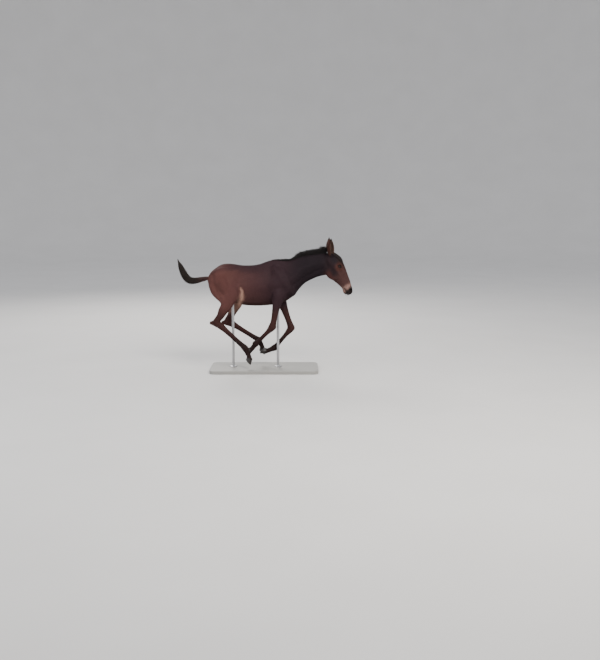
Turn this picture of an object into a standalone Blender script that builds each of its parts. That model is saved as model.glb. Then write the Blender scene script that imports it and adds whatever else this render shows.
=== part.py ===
# A mule foal caught in the gathered phase of a gallop, life size, on a plain display stand.
# X runs forward along the foal, Y to its left and Z up. Lengths are in metres.

import math
import random

import bmesh
import bpy
import numpy as np
from mathutils import Matrix, Vector

# Driving dimensions of the foal
GIRTH_TOP = 1.038  # withers above the floor in this pose
GIRTH_FLOOR = 0.608  # underside of the chest
HEAD_LENGTH = 0.43  # poll to lips
HEAD_PITCH = math.radians(63)  # how far the face points below the horizontal
POLL = Vector((0.600, 0, 1.092))
EAR_LENGTH = 0.175
EYE_RADIUS = 0.0175
GAP = 0.0003  # between neighbouring solids

# Stand
BASE_SIZE = Vector((1.0, 0.46, 0.03))
BASE_CENTRE_X = -0.01
BASE_CORNER = 0.05
BASE_CHAMFER = 0.004
CORNER_STEPS = 6
ROD_RADIUS = 0.012
FLANGE_RADIUS = 0.034
FLANGE_HEIGHT = 0.008
ROD_TOPS = {"front": (0.118, 0.642), "rear": (-0.300, 0.660)}  # x and height of each rod's end

# Finish of the solids: colour, roughness, metallic
FINISHES = {
    "coat": ((0.085, 0.048, 0.040), 0.75, 0.0),
    "eye": ((0.012, 0.008, 0.007), 0.08, 0.0),
    "hoof": ((0.045, 0.038, 0.036), 0.45, 0.0),
    "stand_paint": ((0.42, 0.41, 0.39), 0.6, 0.0),
    "stand_steel": ((0.46, 0.46, 0.47), 0.35, 1.0),
}


def clear_scene():
    for obj in list(bpy.data.objects):
        bpy.data.objects.remove(obj, do_unlink=True)


def finish(name):
    material = bpy.data.materials.get(name)
    if material is None:
        colour, roughness, metallic = FINISHES[name]
        material = bpy.data.materials.new(name)
        material.use_nodes = True
        shader = material.node_tree.nodes["Principled BSDF"]
        shader.inputs["Base Color"].default_value = (*colour, 1)
        shader.inputs["Roughness"].default_value = roughness
        shader.inputs["Metallic"].default_value = metallic
    return material


def add_object(name, mesh):
    obj = bpy.data.objects.new(name, mesh)
    bpy.context.scene.collection.objects.link(obj)
    return obj


def object_from(name, bm):
    bmesh.ops.recalc_face_normals(bm, faces=bm.faces[:])
    mesh = bpy.data.meshes.new(name)
    bm.to_mesh(mesh)
    bm.free()
    return add_object(name, mesh)


def applied(obj):
    # Replaces the object's mesh with the mesh that its modifiers make.
    graph = bpy.context.evaluated_depsgraph_get()
    made = bpy.data.meshes.new_from_object(obj.evaluated_get(graph))
    obj.modifiers.clear()
    obj.data = made
    return obj


def delete(*objs):
    for obj in objs:
        bpy.data.objects.remove(obj, do_unlink=True)


def boolean(obj, others, operation, solver="EXACT"):
    # Joins to the object, or cuts from it, all the others at once, and removes them.
    group = bpy.data.collections.new("cutters")
    for other in others:
        group.objects.link(other)
    modifier = obj.modifiers.new(operation.lower(), "BOOLEAN")
    modifier.operation = operation
    modifier.operand_type = "COLLECTION"
    modifier.collection = group
    modifier.solver = solver
    applied(obj)
    delete(*others)
    bpy.data.collections.remove(group)
    return obj


def keep_largest(obj):
    # Drops whatever isn't joined to the largest closed surface.
    bm = bmesh.new()
    bm.from_mesh(obj.data)
    bm.verts.ensure_lookup_table()
    left = set(bm.verts)
    pieces = []
    while left:
        stack = [left.pop()]
        piece = set(stack)
        while stack:
            for edge in stack.pop().link_edges:
                for vert in edge.verts:
                    if vert in left:
                        left.remove(vert)
                        piece.add(vert)
                        stack.append(vert)
        pieces.append(piece)
    pieces.sort(key=len)
    bmesh.ops.delete(bm, geom=[v for piece in pieces[:-1] for v in piece], context="VERTS")
    bm.to_mesh(obj.data)
    bm.free()
    return obj


# Lofts. A row is one cross-section: front point x z, back point x z, centre y, half width,
# then how much the section narrows towards its front and towards its back.
FRONT_X, FRONT_Z, BACK_X, BACK_Z, MIDDLE_Y, HALF_WIDTH, FRONT_TAPER, BACK_TAPER = range(8)


def spline_rows(rows, steps):
    # Catmull-Rom through the rows, with the given number of steps between each two.
    rows = np.array(rows, float)
    padded = np.vstack([2 * rows[0] - rows[1], rows, 2 * rows[-1] - rows[-2]])
    made = []
    for a, b, c, d in zip(padded, padded[1:], padded[2:], padded[3:]):
        for step in range(steps):
            t = step / steps
            square = (2 * a - 5 * b + 4 * c - d) * t**2
            cube = (3 * b - a - 3 * c + d) * t**3
            made.append(0.5 * (2 * b + (c - a) * t + square + cube))
    return np.vstack([made, rows[-1]])


def section(row, sides, fullness):
    front = Vector((row[FRONT_X], row[MIDDLE_Y], row[FRONT_Z]))
    back = Vector((row[BACK_X], row[MIDDLE_Y], row[BACK_Z]))
    centre = (front + back) / 2
    points = []
    for k in range(sides):
        angle = 2 * math.pi * (k + 0.5) / sides
        across, along = math.cos(angle), math.sin(angle)
        across = math.copysign(abs(across) ** (2 / fullness), across)
        along = math.copysign(abs(along) ** (2 / fullness), along)
        across *= 1 - row[FRONT_TAPER] * max(0, along) - row[BACK_TAPER] * max(0, -along)
        points.append(centre + (front - centre) * along + Vector((0, row[HALF_WIDTH] * across, 0)))
    return points


def loft(name, rows, sides=16, fullness=2.0):
    bm = bmesh.new()
    rings = [[bm.verts.new(p) for p in section(row, sides, fullness)] for row in rows]
    for lower, upper in zip(rings, rings[1:]):
        for k in range(sides):
            m = (k + 1) % sides
            bm.faces.new((lower[k], lower[m], upper[m], upper[k]))
    bm.faces.new(rings[0][::-1])
    bm.faces.new(rings[-1])
    return object_from(name, bm)


def limb_rows(points):
    # Rows of a limb from its centre points x y z, each with a half depth and a half width.
    points = np.array(points, float)
    rows = []
    for k, (x, y, z, deep, wide) in enumerate(points):
        before, after = points[max(k - 1, 0)], points[min(k + 1, len(points) - 1)]
        run = Vector((after[0] - before[0], after[2] - before[2])).normalized()
        front = Vector((-run.y, run.x)) * deep
        rows.append((x + front.x, z + front.y, x - front.x, z - front.y, y, wide, 0, 0))
    return rows


def ellipsoid(centre, radii, pitch=0.0, yaw=0.0, name="mass", segments=20):
    bm = bmesh.new()
    place = Matrix.Translation(centre) @ Matrix.Rotation(yaw, 4, "Z") @ Matrix.Rotation(pitch, 4, "Y")
    place = place @ Matrix.Diagonal((*radii, 1))
    rings = segments // 2 + 1
    bmesh.ops.create_uvsphere(bm, u_segments=segments, v_segments=rings, radius=1, matrix=place)
    return object_from(name, bm)


def remeshed(name, masses, voxel):
    # One closed skin round overlapping masses.
    bm = bmesh.new()
    for mass in masses:
        bm.from_mesh(mass.data)
    delete(*masses)
    obj = object_from(name, bm)
    remesh = obj.modifiers.new("skin", "REMESH")
    remesh.mode = "VOXEL"
    remesh.voxel_size = voxel
    return applied(obj)


def ramp(value, low, high):
    share = min(1, max(0, (value - low) / (high - low)))
    return share * share * (3 - 2 * share)


def eased(obj, steps, softness):
    # Smooths the skin, as much at each point as softness says.
    group = obj.vertex_groups.new(name="softness")
    for vert in obj.data.vertices:
        group.add([vert.index], softness(vert.co), "REPLACE")
    smooth = obj.modifiers.new("ease", "SMOOTH")
    smooth.factor = 0.5
    smooth.iterations = steps
    smooth.vertex_group = "softness"
    applied(obj)
    obj.vertex_groups.clear()
    return obj


def decimated(obj, triangles):
    bm = bmesh.new()
    bm.from_mesh(obj.data)
    bmesh.ops.triangulate(bm, faces=bm.faces[:])
    bm.to_mesh(obj.data)
    bm.free()
    thin = obj.modifiers.new("thin", "DECIMATE")
    thin.ratio = min(1, triangles / len(obj.data.polygons))
    return applied(obj)


def trimmed(obj, point, normal):
    # Cuts away what lies past the plane, on the side its normal points to, and closes the cut.
    bm = bmesh.new()
    bm.from_mesh(obj.data)
    everything = bm.verts[:] + bm.edges[:] + bm.faces[:]
    cut = bmesh.ops.bisect_plane(bm, geom=everything, plane_co=point, plane_no=normal, clear_outer=True)
    edges = [e for e in cut["geom_cut"] if isinstance(e, bmesh.types.BMEdge)]
    bmesh.ops.holes_fill(bm, edges=edges, sides=0)
    bmesh.ops.triangulate(bm, faces=[f for f in bm.faces if len(f.verts) > 4])
    bmesh.ops.recalc_face_normals(bm, faces=bm.faces[:])
    bm.to_mesh(obj.data)
    bm.free()
    return obj


def copy_of(obj, name):
    return add_object(name, obj.data.copy())


def swollen(obj):
    # A copy whose surface stands out by the gap, to cut a neighbour clear.
    shell = copy_of(obj, "shell")
    swell = shell.modifiers.new("clearance", "DISPLACE")
    swell.strength = GAP
    swell.mid_level = 0
    return applied(shell)


def box(name, centre, size, rotation=None):
    bm = bmesh.new()
    place = Matrix.Translation(centre) @ (rotation or Matrix.Identity(4)) @ Matrix.Diagonal((*size, 1))
    bmesh.ops.create_cube(bm, size=1, matrix=place)
    return object_from(name, bm)


# Trunk and neck, from the buttock to the throat
def trunk_rows():
    return [
        (-0.526, 0.868, -0.530, 0.828, 0, 0.040, 0.10, 0.10),
        (-0.505, 0.914, -0.512, 0.780, 0, 0.078, 0.15, 0.25),
        (-0.457, 0.957, -0.466, 0.742, 0, 0.104, 0.25, 0.30),
        (-0.395, 0.994, -0.402, 0.696, 0, 0.116, 0.32, 0.30),
        (-0.310, 1.000, -0.316, 0.644, 0, 0.118, 0.36, 0.22),
        (-0.220, 0.986, -0.220, 0.616, 0, 0.120, 0.38, 0.18),
        (-0.137, 0.984, -0.140, 0.607, 0, 0.124, 0.40, 0.20),
        (-0.050, 0.996, -0.060, 0.605, 0, 0.124, 0.45, 0.24),
        (0.020, 1.023, 0.000, GIRTH_FLOOR, 0, 0.116, 0.55, 0.30),
        (0.078, GIRTH_TOP, 0.065, 0.614, 0, 0.106, 0.65, 0.35),
        (0.140, 1.034, 0.140, 0.626, 0, 0.098, 0.65, 0.35),
        (0.200, 1.030, 0.205, 0.652, 0, 0.092, 0.60, 0.30),
        (0.250, 1.040, 0.275, 0.704, 0, 0.082, 0.58, 0.20),
        (0.300, 1.060, 0.325, 0.768, 0, 0.072, 0.55, 0.15),
        (0.355, 1.076, 0.372, 0.815, 0, 0.064, 0.52, 0.15),
        (0.425, 1.088, 0.440, 0.852, 0, 0.058, 0.50, 0.12),
        (0.495, 1.096, 0.512, 0.880, 0, 0.054, 0.46, 0.10),
        (0.565, 1.101, 0.585, 0.895, 0, 0.053, 0.40, 0.10),
        (0.620, 1.070, 0.640, 0.930, 0, 0.046, 0.30, 0.10),
    ]


# The head's own frame: along runs from the poll to the lips, out runs to the front of the face
ALONG = Vector((math.cos(HEAD_PITCH), 0, -math.sin(HEAD_PITCH)))
OUT = Vector((math.sin(HEAD_PITCH), 0, math.cos(HEAD_PITCH)))


def on_head(along, side, out):
    # A place on the head: shares of its length along, and metres to the left and out.
    return POLL + ALONG * (along * HEAD_LENGTH) + Vector((0, side, 0)) + OUT * out


# Sections of the head: share of its length, front and jaw from the axis, half width, tapers
HEAD_STATIONS = [
    (-0.02, 0.006, -0.060, 0.040, 0.20, 0.10),
    (0.08, 0.040, -0.104, 0.055, 0.16, 0.20),
    (0.20, 0.060, -0.126, 0.067, 0.10, 0.36),
    (0.31, 0.066, -0.129, 0.071, 0.10, 0.48),
    (0.42, 0.062, -0.114, 0.062, 0.24, 0.46),
    (0.54, 0.056, -0.090, 0.049, 0.36, 0.38),
    (0.66, 0.050, -0.066, 0.040, 0.40, 0.30),
    (0.77, 0.045, -0.049, 0.037, 0.34, 0.25),
    (0.87, 0.041, -0.042, 0.038, 0.30, 0.25),
    (0.95, 0.030, -0.034, 0.034, 0.28, 0.20),
    (0.988, 0.014, -0.019, 0.023, 0.20, 0.10),
]


def head_rows():
    rows = []
    for along, front, jaw, wide, front_taper, back_taper in HEAD_STATIONS:
        f, b = on_head(along, 0, front), on_head(along, 0, jaw)
        rows.append((f.x, f.z, b.x, b.z, 0, wide, front_taper, back_taper))
    return rows


# Joints of the legs: x, y and z of each, then how far the hoof is folded back from flat
LEGS = {
    "fore_right": {
        "elbow": (0.118, -0.085, 0.672),
        "knee": (0.070, -0.070, 0.414),
        "fetlock": (-0.088, -0.037, 0.252),
        "toe": (-0.185, -0.036, 0.147),
        "fold": 103,
    },
    "fore_left": {
        "elbow": (0.145, 0.085, 0.652),
        "knee": (0.243, 0.070, 0.385),
        "fetlock": (0.083, 0.042, 0.200),
        "toe": (-0.058, 0.040, 0.150),
        "fold": 128,
    },
    "hind_right": {
        "stifle": (-0.285, -0.098, 0.732),
        "hock": (-0.446, -0.088, 0.464),
        "fetlock": (-0.179, -0.114, 0.222),
        "toe": (-0.131, -0.116, 0.066),
        "fold": 47,
    },
    "hind_left": {
        "stifle": (-0.222, 0.098, 0.718),
        "hock": (-0.356, 0.088, 0.450),
        "fetlock": (-0.064, 0.116, 0.262),
        "toe": (-0.010, 0.118, 0.122),
        "fold": 38,
    },
}

# Sizes along a leg: share of the way from one joint to the next, half depth, half width
FORE_UPPER = [
    (-0.34, 0.030, 0.014),
    (-0.18, 0.054, 0.034),
    (0.00, 0.056, 0.038),
    (0.25, 0.039, 0.033),
    (0.50, 0.031, 0.029),
    (0.75, 0.028, 0.0265),
    (0.90, 0.030, 0.029),
]
KNEE = (0.0, 0.033, 0.032)
FORE_LOWER = [(0.16, 0.027, 0.026), (0.32, 0.0205, 0.0185), (0.55, 0.0190, 0.0170), (0.80, 0.0205, 0.0185)]
HIND_UPPER = [
    (-0.45, 0.050, 0.020),
    (-0.25, 0.078, 0.040),
    (0.0, 0.072, 0.044),
    (0.20, 0.062, 0.041),
    (0.40, 0.051, 0.036),
    (0.60, 0.038, 0.029),
    (0.80, 0.031, 0.024),
]
HOCK = (0.0, 0.037, 0.029)
HIND_LOWER = [(0.14, 0.032, 0.026), (0.30, 0.0245, 0.0205), (0.55, 0.0215, 0.0180), (0.82, 0.0225, 0.0195)]
FETLOCK = (0.0, 0.028, 0.026)
PASTERN = [(0.30, 0.0225, 0.0215), (0.60, 0.0220, 0.0225)]

# A hoof standing flat, behind and above its toe
CORONET_FRONT = Vector((-0.031, 0, 0.047))
CORONET_BACK = Vector((-0.080, 0, 0.030))
HEEL = Vector((-0.069, 0, 0.0))
CORONET_HALF_WIDTH = 0.0285
GROUND_HALF_WIDTH = 0.0355


def hoof_points(leg):
    # Front and back of the coronet, toe and heel.
    turn = Matrix.Rotation(math.radians(LEGS[leg]["fold"]), 3, "Y")
    toe = Vector(LEGS[leg]["toe"])
    return toe + turn @ CORONET_FRONT, toe + turn @ CORONET_BACK, toe, toe + turn @ HEEL


def coronet(leg):
    front, back, _, _ = hoof_points(leg)
    return (front + back) / 2


def coronet_normal(leg):
    front, back, toe, _ = hoof_points(leg)
    normal = (front - back).cross(Vector((0, 1, 0))).normalized()
    return normal if normal.dot(toe - back) > 0 else -normal


def leg_points(leg):
    # Centre points and half sizes of a whole leg, from inside the trunk to the coronet.
    joints = LEGS[leg]
    fore = leg.startswith("fore")
    first, second = ("elbow", "knee") if fore else ("stifle", "hock")
    a, b, c = Vector(joints[first]), Vector(joints[second]), Vector(joints["fetlock"])
    points = []
    for start, end, sizes in (
        (a, b, FORE_UPPER if fore else HIND_UPPER),
        (b, c, [KNEE if fore else HOCK] + (FORE_LOWER if fore else HIND_LOWER)),
        (c, coronet(leg), [FETLOCK] + PASTERN),
    ):
        points += [(*start.lerp(end, share), deep, wide) for share, deep, wide in sizes]
    points.append((*coronet(leg), CORONET_FRONT.x, CORONET_HALF_WIDTH))
    return points


def leg_rows(leg):
    rows = limb_rows(leg_points(leg))
    front, back, _, _ = hoof_points(leg)
    rows[-1] = (front.x, front.z, back.x, back.z, front.y, CORONET_HALF_WIDTH, 0, 0)
    return spline_rows(rows, 2)


def hock_masses(leg):
    # The tendon down the back of the gaskin, and the point of the hock.
    stifle, hock, fetlock = (Vector(LEGS[leg][name]) for name in ("stifle", "hock", "fetlock"))
    cannon = (fetlock - hock).normalized()
    behind = Vector((0, 1, 0)).cross(cannon).normalized()
    point = hock - cannon * 0.030 + behind * 0.038
    back = Vector((0, 1, 0)).cross(hock - stifle).normalized()
    top = stifle.lerp(hock, 0.50) + back * 0.026
    middle = stifle.lerp(hock, 0.80).lerp(point, 0.45)
    tendon = limb_rows([(*top, 0.018, 0.016), (*middle, 0.014, 0.012), (*point, 0.016, 0.015)])
    heel = limb_rows([(*point, 0.016, 0.015), (*(hock + cannon * 0.05 + behind * 0.014), 0.017, 0.016)])
    cap = ellipsoid(point, (0.018, 0.0155, 0.018))
    return [loft("tendon", spline_rows(tendon, 2), 10), cap, loft("heel", heel, 10)]


def shoulder_masses():
    # Blade, upper arm, point of the shoulder and breast, on both sides.
    masses = []
    for side in (-1, 1):
        masses += [
            ellipsoid((0.145, side * 0.054, 0.850), (0.056, 0.035, 0.150), math.radians(-30)),
            ellipsoid((0.132, side * 0.064, 0.722), (0.076, 0.034, 0.088), math.radians(20)),
            ellipsoid((0.218, side * 0.055, 0.778), (0.050, 0.036, 0.060)),
            ellipsoid((0.252, side * 0.034, 0.748), (0.044, 0.038, 0.056)),
        ]
    return masses


def thigh_masses():
    # Rump, thigh and hamstring of each hind leg, down to that leg's own stifle and gaskin.
    masses = []
    for leg, side in (("hind_right", -1), ("hind_left", 1)):
        stifle, hock = Vector(LEGS[leg]["stifle"]), Vector(LEGS[leg]["hock"])
        hip = Vector((-0.395, side * 0.068, 0.880))
        seat = Vector((-0.484, side * 0.052, 0.820))
        bend = Vector((-0.448, side * 0.058, 0.738))
        gaskin = stifle.lerp(hock, 0.30) + Vector((-0.013, 0, -0.010))
        thigh = [(*hip, 0.075, 0.045), (*hip.lerp(stifle, 0.5), 0.098, 0.047), (*stifle, 0.058, 0.042)]
        hamstring = [(*seat, 0.044, 0.040), (*bend, 0.048, 0.044), (*gaskin, 0.042, 0.037)]
        masses += [
            ellipsoid((-0.390, side * 0.058, 0.888), (0.106, 0.058, 0.082), math.radians(-16)),
            loft("thigh", spline_rows(limb_rows(thigh), 3), 14),
            loft("hamstring", spline_rows(limb_rows(hamstring), 3), 14),
            ellipsoid(stifle + Vector((0.006, 0, 0)), (0.050, 0.040, 0.056)),
        ]
    return masses


# Eyes
EYE_PLACE = (0.335, 0.0545, 0.019)  # share along the head, to the side, out


LID_HALF_LENGTH = 0.0150  # of the opening between the lids
LID_HALF_HEIGHT = 0.0098


def eye_centre(side):
    along, reach, out = EYE_PLACE
    return on_head(along, side * reach, out)


def head_masses():
    # The head's length, then orbits, brows, cheeks, nostrils, lips and chin.
    masses = [loft("face", spline_rows(head_rows(), 3), 24, 2.4)]
    for side in (-1, 1):
        masses += [
            ellipsoid(eye_centre(side), (0.029, 0.0215, 0.0230), HEAD_PITCH),
            ellipsoid(on_head(0.300, side * 0.052, 0.032), (0.040, 0.019, 0.018), HEAD_PITCH),
            ellipsoid(on_head(0.35, side * 0.045, -0.062), (0.088, 0.018, 0.062), HEAD_PITCH),
            ellipsoid(on_head(0.885, side * 0.027, 0.019), (0.030, 0.015, 0.018), HEAD_PITCH),
            ellipsoid(on_head(0.925, side * 0.016, -0.002), (0.028, 0.020, 0.018), HEAD_PITCH),
        ]
    masses.append(ellipsoid(on_head(0.885, 0, -0.034), (0.032, 0.024, 0.016), HEAD_PITCH - 0.3))
    return masses


# Where the trunk, the neck and the head part
NECK_PLANE = (Vector((0.200, 0, 0.860)), Vector((0.33, 0, 0.21)).normalized())
HEAD_PLANE = (Vector((0.553, 0, 0.985)), Vector((0.24, 0, -0.045)).normalized())

# Where a leg parts: from the trunk, below the knee or hock, and at the fetlock
CUTS = {
    "fore": (("elbow", "knee", 0.26), ("knee", "fetlock", 0.13), ("fetlock", None, 0.03)),
    "hind": (("stifle", "hock", 0.40), ("hock", "fetlock", 0.13), ("fetlock", None, 0.03)),
}
LEG_BLOCK = {"fore": (0.110, 0.100, 0.05), "hind": (0.150, 0.110, 0.05)}  # room for one leg's top
PIECES = {"fore": ("forearm", "cannon", "pastern"), "hind": ("gaskin", "cannon", "pastern")}


def cut_planes(leg):
    # Point and direction of each cut, from the trunk down to the coronet.
    joints = LEGS[leg]
    planes = []
    for start, end, share in CUTS[leg[:4]]:
        a = Vector(joints[start])
        b = Vector(joints[end]) if end else coronet(leg)
        planes.append((a.lerp(b, share), (b - a).normalized()))
    return planes + [(coronet(leg), coronet_normal(leg))]


def leg_block(leg):
    # The block below a leg's first cut, which takes the leg off the trunk.
    point, normal = cut_planes(leg)[0]
    deep, wide, high = LEG_BLOCK[leg[:4]]
    along = Vector((0, 1, 0)).cross(normal).normalized()
    turn = Matrix((along, normal.cross(along), normal)).transposed().to_4x4()
    return box("block", point + normal * (high / 2 - GAP / 2), (deep, wide, high), turn)


def softness(point):
    # The trunk is eased most, the head a little and the legs not at all.
    head = ramp(point.x, 0.46, 0.58)
    return ramp(point.z, 0.61, 0.68) * (1 - 0.85 * head)


SKIN_VOXEL = 0.005
EASE_STEPS = 90
BODY_TRIANGLES = 3200
HEAD_TRIANGLES = 1600
HIND_LEG_TRIANGLES = 800


def build_skin():
    # One skin over trunk, neck, head and the tops of the legs.
    masses = [loft("trunk", spline_rows(trunk_rows(), 3), 28, 2.25)]
    masses += shoulder_masses() + thigh_masses() + head_masses()
    for leg in LEGS:
        point, normal = cut_planes(leg)[0]
        masses.append(trimmed(loft("stub", leg_rows(leg), 20), point + normal * 0.03, normal))
    return eased(remeshed("skin", masses, SKIN_VOXEL), EASE_STEPS, softness)


def build_trunk_and_neck(skin):
    body = decimated(copy_of(skin, "body"), BODY_TRIANGLES)
    point, normal = NECK_PLANE
    trunk = trimmed(copy_of(body, "torso"), point - normal * (GAP / 2), normal)
    boolean(trunk, [leg_block(leg) for leg in LEGS], "DIFFERENCE")
    keep_largest(trunk)
    neck = trimmed(copy_of(body, "neck"), point + normal * (GAP / 2), -normal)
    point, normal = HEAD_PLANE
    trimmed(neck, point - normal * (GAP / 2), normal)
    keep_largest(neck)
    delete(body)
    return trunk, neck


def build_head(skin):
    point, normal = HEAD_PLANE
    head = trimmed(copy_of(skin, "head"), point - normal * 0.02, -normal)
    decimated(keep_largest(head), HEAD_TRIANGLES)
    return keep_largest(trimmed(head, point + normal * (GAP / 2), -normal))


def build_leg(leg):
    kind, side = leg.split("_")
    whole = loft("whole", leg_rows(leg), 14)
    if kind == "hind":
        whole = eased(remeshed("whole", [whole, *hock_masses(leg)], 0.004), 8, lambda point: 1)
        decimated(whole, HIND_LEG_TRIANGLES)
    planes = cut_planes(leg)
    made = []
    for piece, upper, lower in zip(PIECES[kind], planes, planes[1:]):
        name = f"{piece}_{side}" if piece in ("forearm", "gaskin") else f"{piece}_{kind}_{side}"
        part = copy_of(whole, name)
        trimmed(part, upper[0] + upper[1] * (GAP / 2), -upper[1])
        trimmed(part, lower[0] - lower[1] * (GAP / 2), lower[1])
        keep_largest(part)
        made.append(part)
    delete(whole)
    return made


# Down a hoof's wall: share of the way, and how far it swells
HOOF_STEPS = ((0.0, 0.0), (0.10, 0.0016), (0.30, 0.0010), (0.90, 0.0), (0.97, -0.002), (1.0, -0.006))


def build_hoof(leg):
    kind, side = leg.split("_")
    coronet_front, coronet_back, toe, heel = hoof_points(leg)
    rows = []
    for share, swell in HOOF_STEPS:
        front, back = coronet_front.lerp(toe, share), coronet_back.lerp(heel, share)
        out = (front - back).normalized() * swell
        start = coronet_normal(leg) * (GAP / 2 if share == 0 else 0)
        front, back = front + out + start, back - out + start
        wide = CORONET_HALF_WIDTH + (GROUND_HALF_WIDTH - CORONET_HALF_WIDTH) * share + swell
        rows.append((front.x, front.z, back.x, back.z, toe.y, wide, 0, 0.12 * share))
    return loft(f"hoof_{kind}_{side}", rows, 14, 2.1)


# Ears
EAR_ROOT = (0.055, 0.040, 0.000)  # share along the head, to the side, out
EAR_LEAN = math.radians(20)  # outwards
EAR_BACK = {-1: math.radians(6), 1: math.radians(10)}  # right and left tips behind the upright
EAR_OPENING = math.radians(42)  # from straight ahead
EAR_WIDEST = 0.035
EAR_WIDEST_AT = 0.42  # share of its length
EAR_SHARES = (-0.16, -0.06, 0.04, 0.13, 0.24, 0.37, 0.50, 0.64, 0.78, 0.90, 1.0)
EAR_SIDES = 7
EAR_WALL = 0.0042
EAR_BEND = 0.020  # how far the tip curves forward over the cup


def ear_ring(share, sides):
    # The ear's section at a share of its length: round the outside, then back along the inside.
    opened = 0.56 + 0.44 * math.sin(min(1, share / EAR_WIDEST_AT) * math.pi / 2)
    closed = max(0, (share - EAR_WIDEST_AT) / (1 - EAR_WIDEST_AT)) ** 1.9
    radius = max(EAR_WIDEST * opened * (1 - closed), 0.0035)
    half_angle = math.radians(130 - 34 * share)
    filled = max(0.0, 1 - share / 0.16)
    wall = min(EAR_WALL, radius * 0.45)
    outer, inner = [], []
    rim = math.cos(half_angle)
    for k in range(sides):
        angle = half_angle * (2 * k / (sides - 1) - 1)
        side, back = math.sin(angle), math.cos(angle)
        outer.append(Vector((radius * side, -radius * back, 0)))
        arc = Vector(((radius - wall) * side, -(radius - wall) * back, 0))
        chord = Vector(((radius - wall) * side, -(radius - wall) * rim, 0))
        inner.append(arc.lerp(chord, filled * 0.9))
    return outer + inner[::-1]


def build_ear(side, head):
    # side is -1 for the right ear and 1 for the left.
    along, reach, out = EAR_ROOT
    root = on_head(along, side * reach, out)
    turn = Matrix.Rotation(-side * EAR_LEAN, 4, "X") @ Matrix.Rotation(-EAR_BACK[side], 4, "Y")
    turn = turn @ Matrix.Rotation(side * EAR_OPENING - math.pi / 2, 4, "Z")
    bm = bmesh.new()
    rings = []
    for share in EAR_SHARES:
        shift = Vector((0, EAR_BEND * share**2, EAR_LENGTH * share))
        ring = ear_ring(max(share, 0), EAR_SIDES)
        rings.append([bm.verts.new(root + (turn @ (p + shift))) for p in ring])
    count = len(rings[0])
    for lower, upper in zip(rings, rings[1:]):
        for k in range(count):
            m = (k + 1) % count
            bm.faces.new((lower[k], lower[m], upper[m], upper[k]))
    bm.faces.new(rings[0][::-1])
    bm.faces.new(rings[-1])
    ear = object_from("ear_" + ("left" if side > 0 else "right"), bm)
    boolean(ear, [swollen(head)], "DIFFERENCE")
    return keep_largest(ear)


def eye_frame(side):
    look = (Vector((0, side, 0)) + OUT * 0.42 - ALONG * 0.04).normalized()
    return eye_centre(side), look


def ball(name, centre, radius):
    return ellipsoid(centre, (radius, radius, radius), name=name, segments=12)


def lid_cutter(side):
    # The almond opening between the lids, as a prism along the line of sight.
    centre, look = eye_frame(side)
    long_way = (ALONG - look * ALONG.dot(look)).normalized()
    long_way = (long_way + OUT * 0.45).normalized()
    long_way = (long_way - look * long_way.dot(look)).normalized()
    short_way = look.cross(long_way).normalized()
    bm = bmesh.new()
    rings = []
    for depth in (0.004, 0.034):
        ring = []
        for k in range(12):
            angle = 2 * math.pi * k / 12
            along, up = math.cos(angle), math.sin(angle)
            up *= 1 - 0.30 * abs(along) ** 3
            reach = long_way * (LID_HALF_LENGTH * along) + short_way * (LID_HALF_HEIGHT * up)
            ring.append(bm.verts.new(centre + look * depth + reach))
        rings.append(ring)
    for k in range(12):
        m = (k + 1) % 12
        bm.faces.new((rings[0][k], rings[0][m], rings[1][m], rings[1][k]))
    bm.faces.new(rings[0][::-1])
    bm.faces.new(rings[1])
    return object_from("almond", bm)


def nostril_cutter(side):
    centre = on_head(0.908, side * 0.0375, 0.018)
    return ellipsoid(centre, (0.0135, 0.0125, 0.0068), HEAD_PITCH + 0.55, side * 0.18, "nostril", 12)


MOUTH_GAP = 0.0026  # depth of the line between the lips


def mouth_cutter():
    # A thin half ring that cuts the line between the lips.
    bm = bmesh.new()
    corner = on_head(0.80, 0, -0.026)
    tip = on_head(1.03, 0, -0.012)
    forward = (tip - corner).normalized()
    up = Vector((-forward.z, 0, forward.x)).normalized()
    length = (tip - corner).length
    steps = 12
    rings = []
    for k in range(steps + 1):
        angle = math.pi * (k / steps - 0.5)
        ring = []
        for reach, wide, lift in ((1.0, 0.060, -1), (1.0, 0.060, 1), (0.66, 0.0215, 1), (0.66, 0.0215, -1)):
            place = corner + forward * (length * reach * math.cos(angle))
            place += Vector((0, wide * math.sin(angle), 0))
            ring.append(bm.verts.new(place + up * (MOUTH_GAP / 2 * lift)))
        rings.append(ring)
    for a, b in zip(rings, rings[1:]):
        for k in range(4):
            m = (k + 1) % 4
            bm.faces.new((a[k], a[m], b[m], b[k]))
    bm.faces.new(rings[0][::-1])
    bm.faces.new(rings[-1])
    return object_from("mouth", bm)


def detail_head(head):
    cutters = [mouth_cutter()]
    for side in (-1, 1):
        cutters += [nostril_cutter(side), lid_cutter(side)]
    boolean(head, cutters, "DIFFERENCE")
    sockets = [ball("socket", eye_centre(side), EYE_RADIUS + GAP) for side in (-1, 1)]
    boolean(head, sockets, "DIFFERENCE")
    return keep_largest(head)


def build_eyes():
    sides = {"eye_right": -1, "eye_left": 1}
    return [ball(name, eye_centre(side), EYE_RADIUS) for name, side in sides.items()]


# Hair
MANE_LOCKS = 34
MANE_FROM, MANE_TO = 0.105, 0.566  # where along the neck it grows
MANE_CORE = 0.45  # height of the mane's dense base, of its full height
FORELOCK_LOCKS = 11
POLL_ROWS = (-1, 1, 0, 1)  # side of each lock on the poll, back to front
TAIL_LOCKS = 26
LOCK_ROOT_DEPTH = 0.012
# How a forelock lock falls: share of the head on from its root, spread, height over the face
FORELOCK_FALL = ((0.06, 0.85, 0.023), (0.14, 1.05, 0.020), (0.23, 1.2, -0.003))


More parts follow.
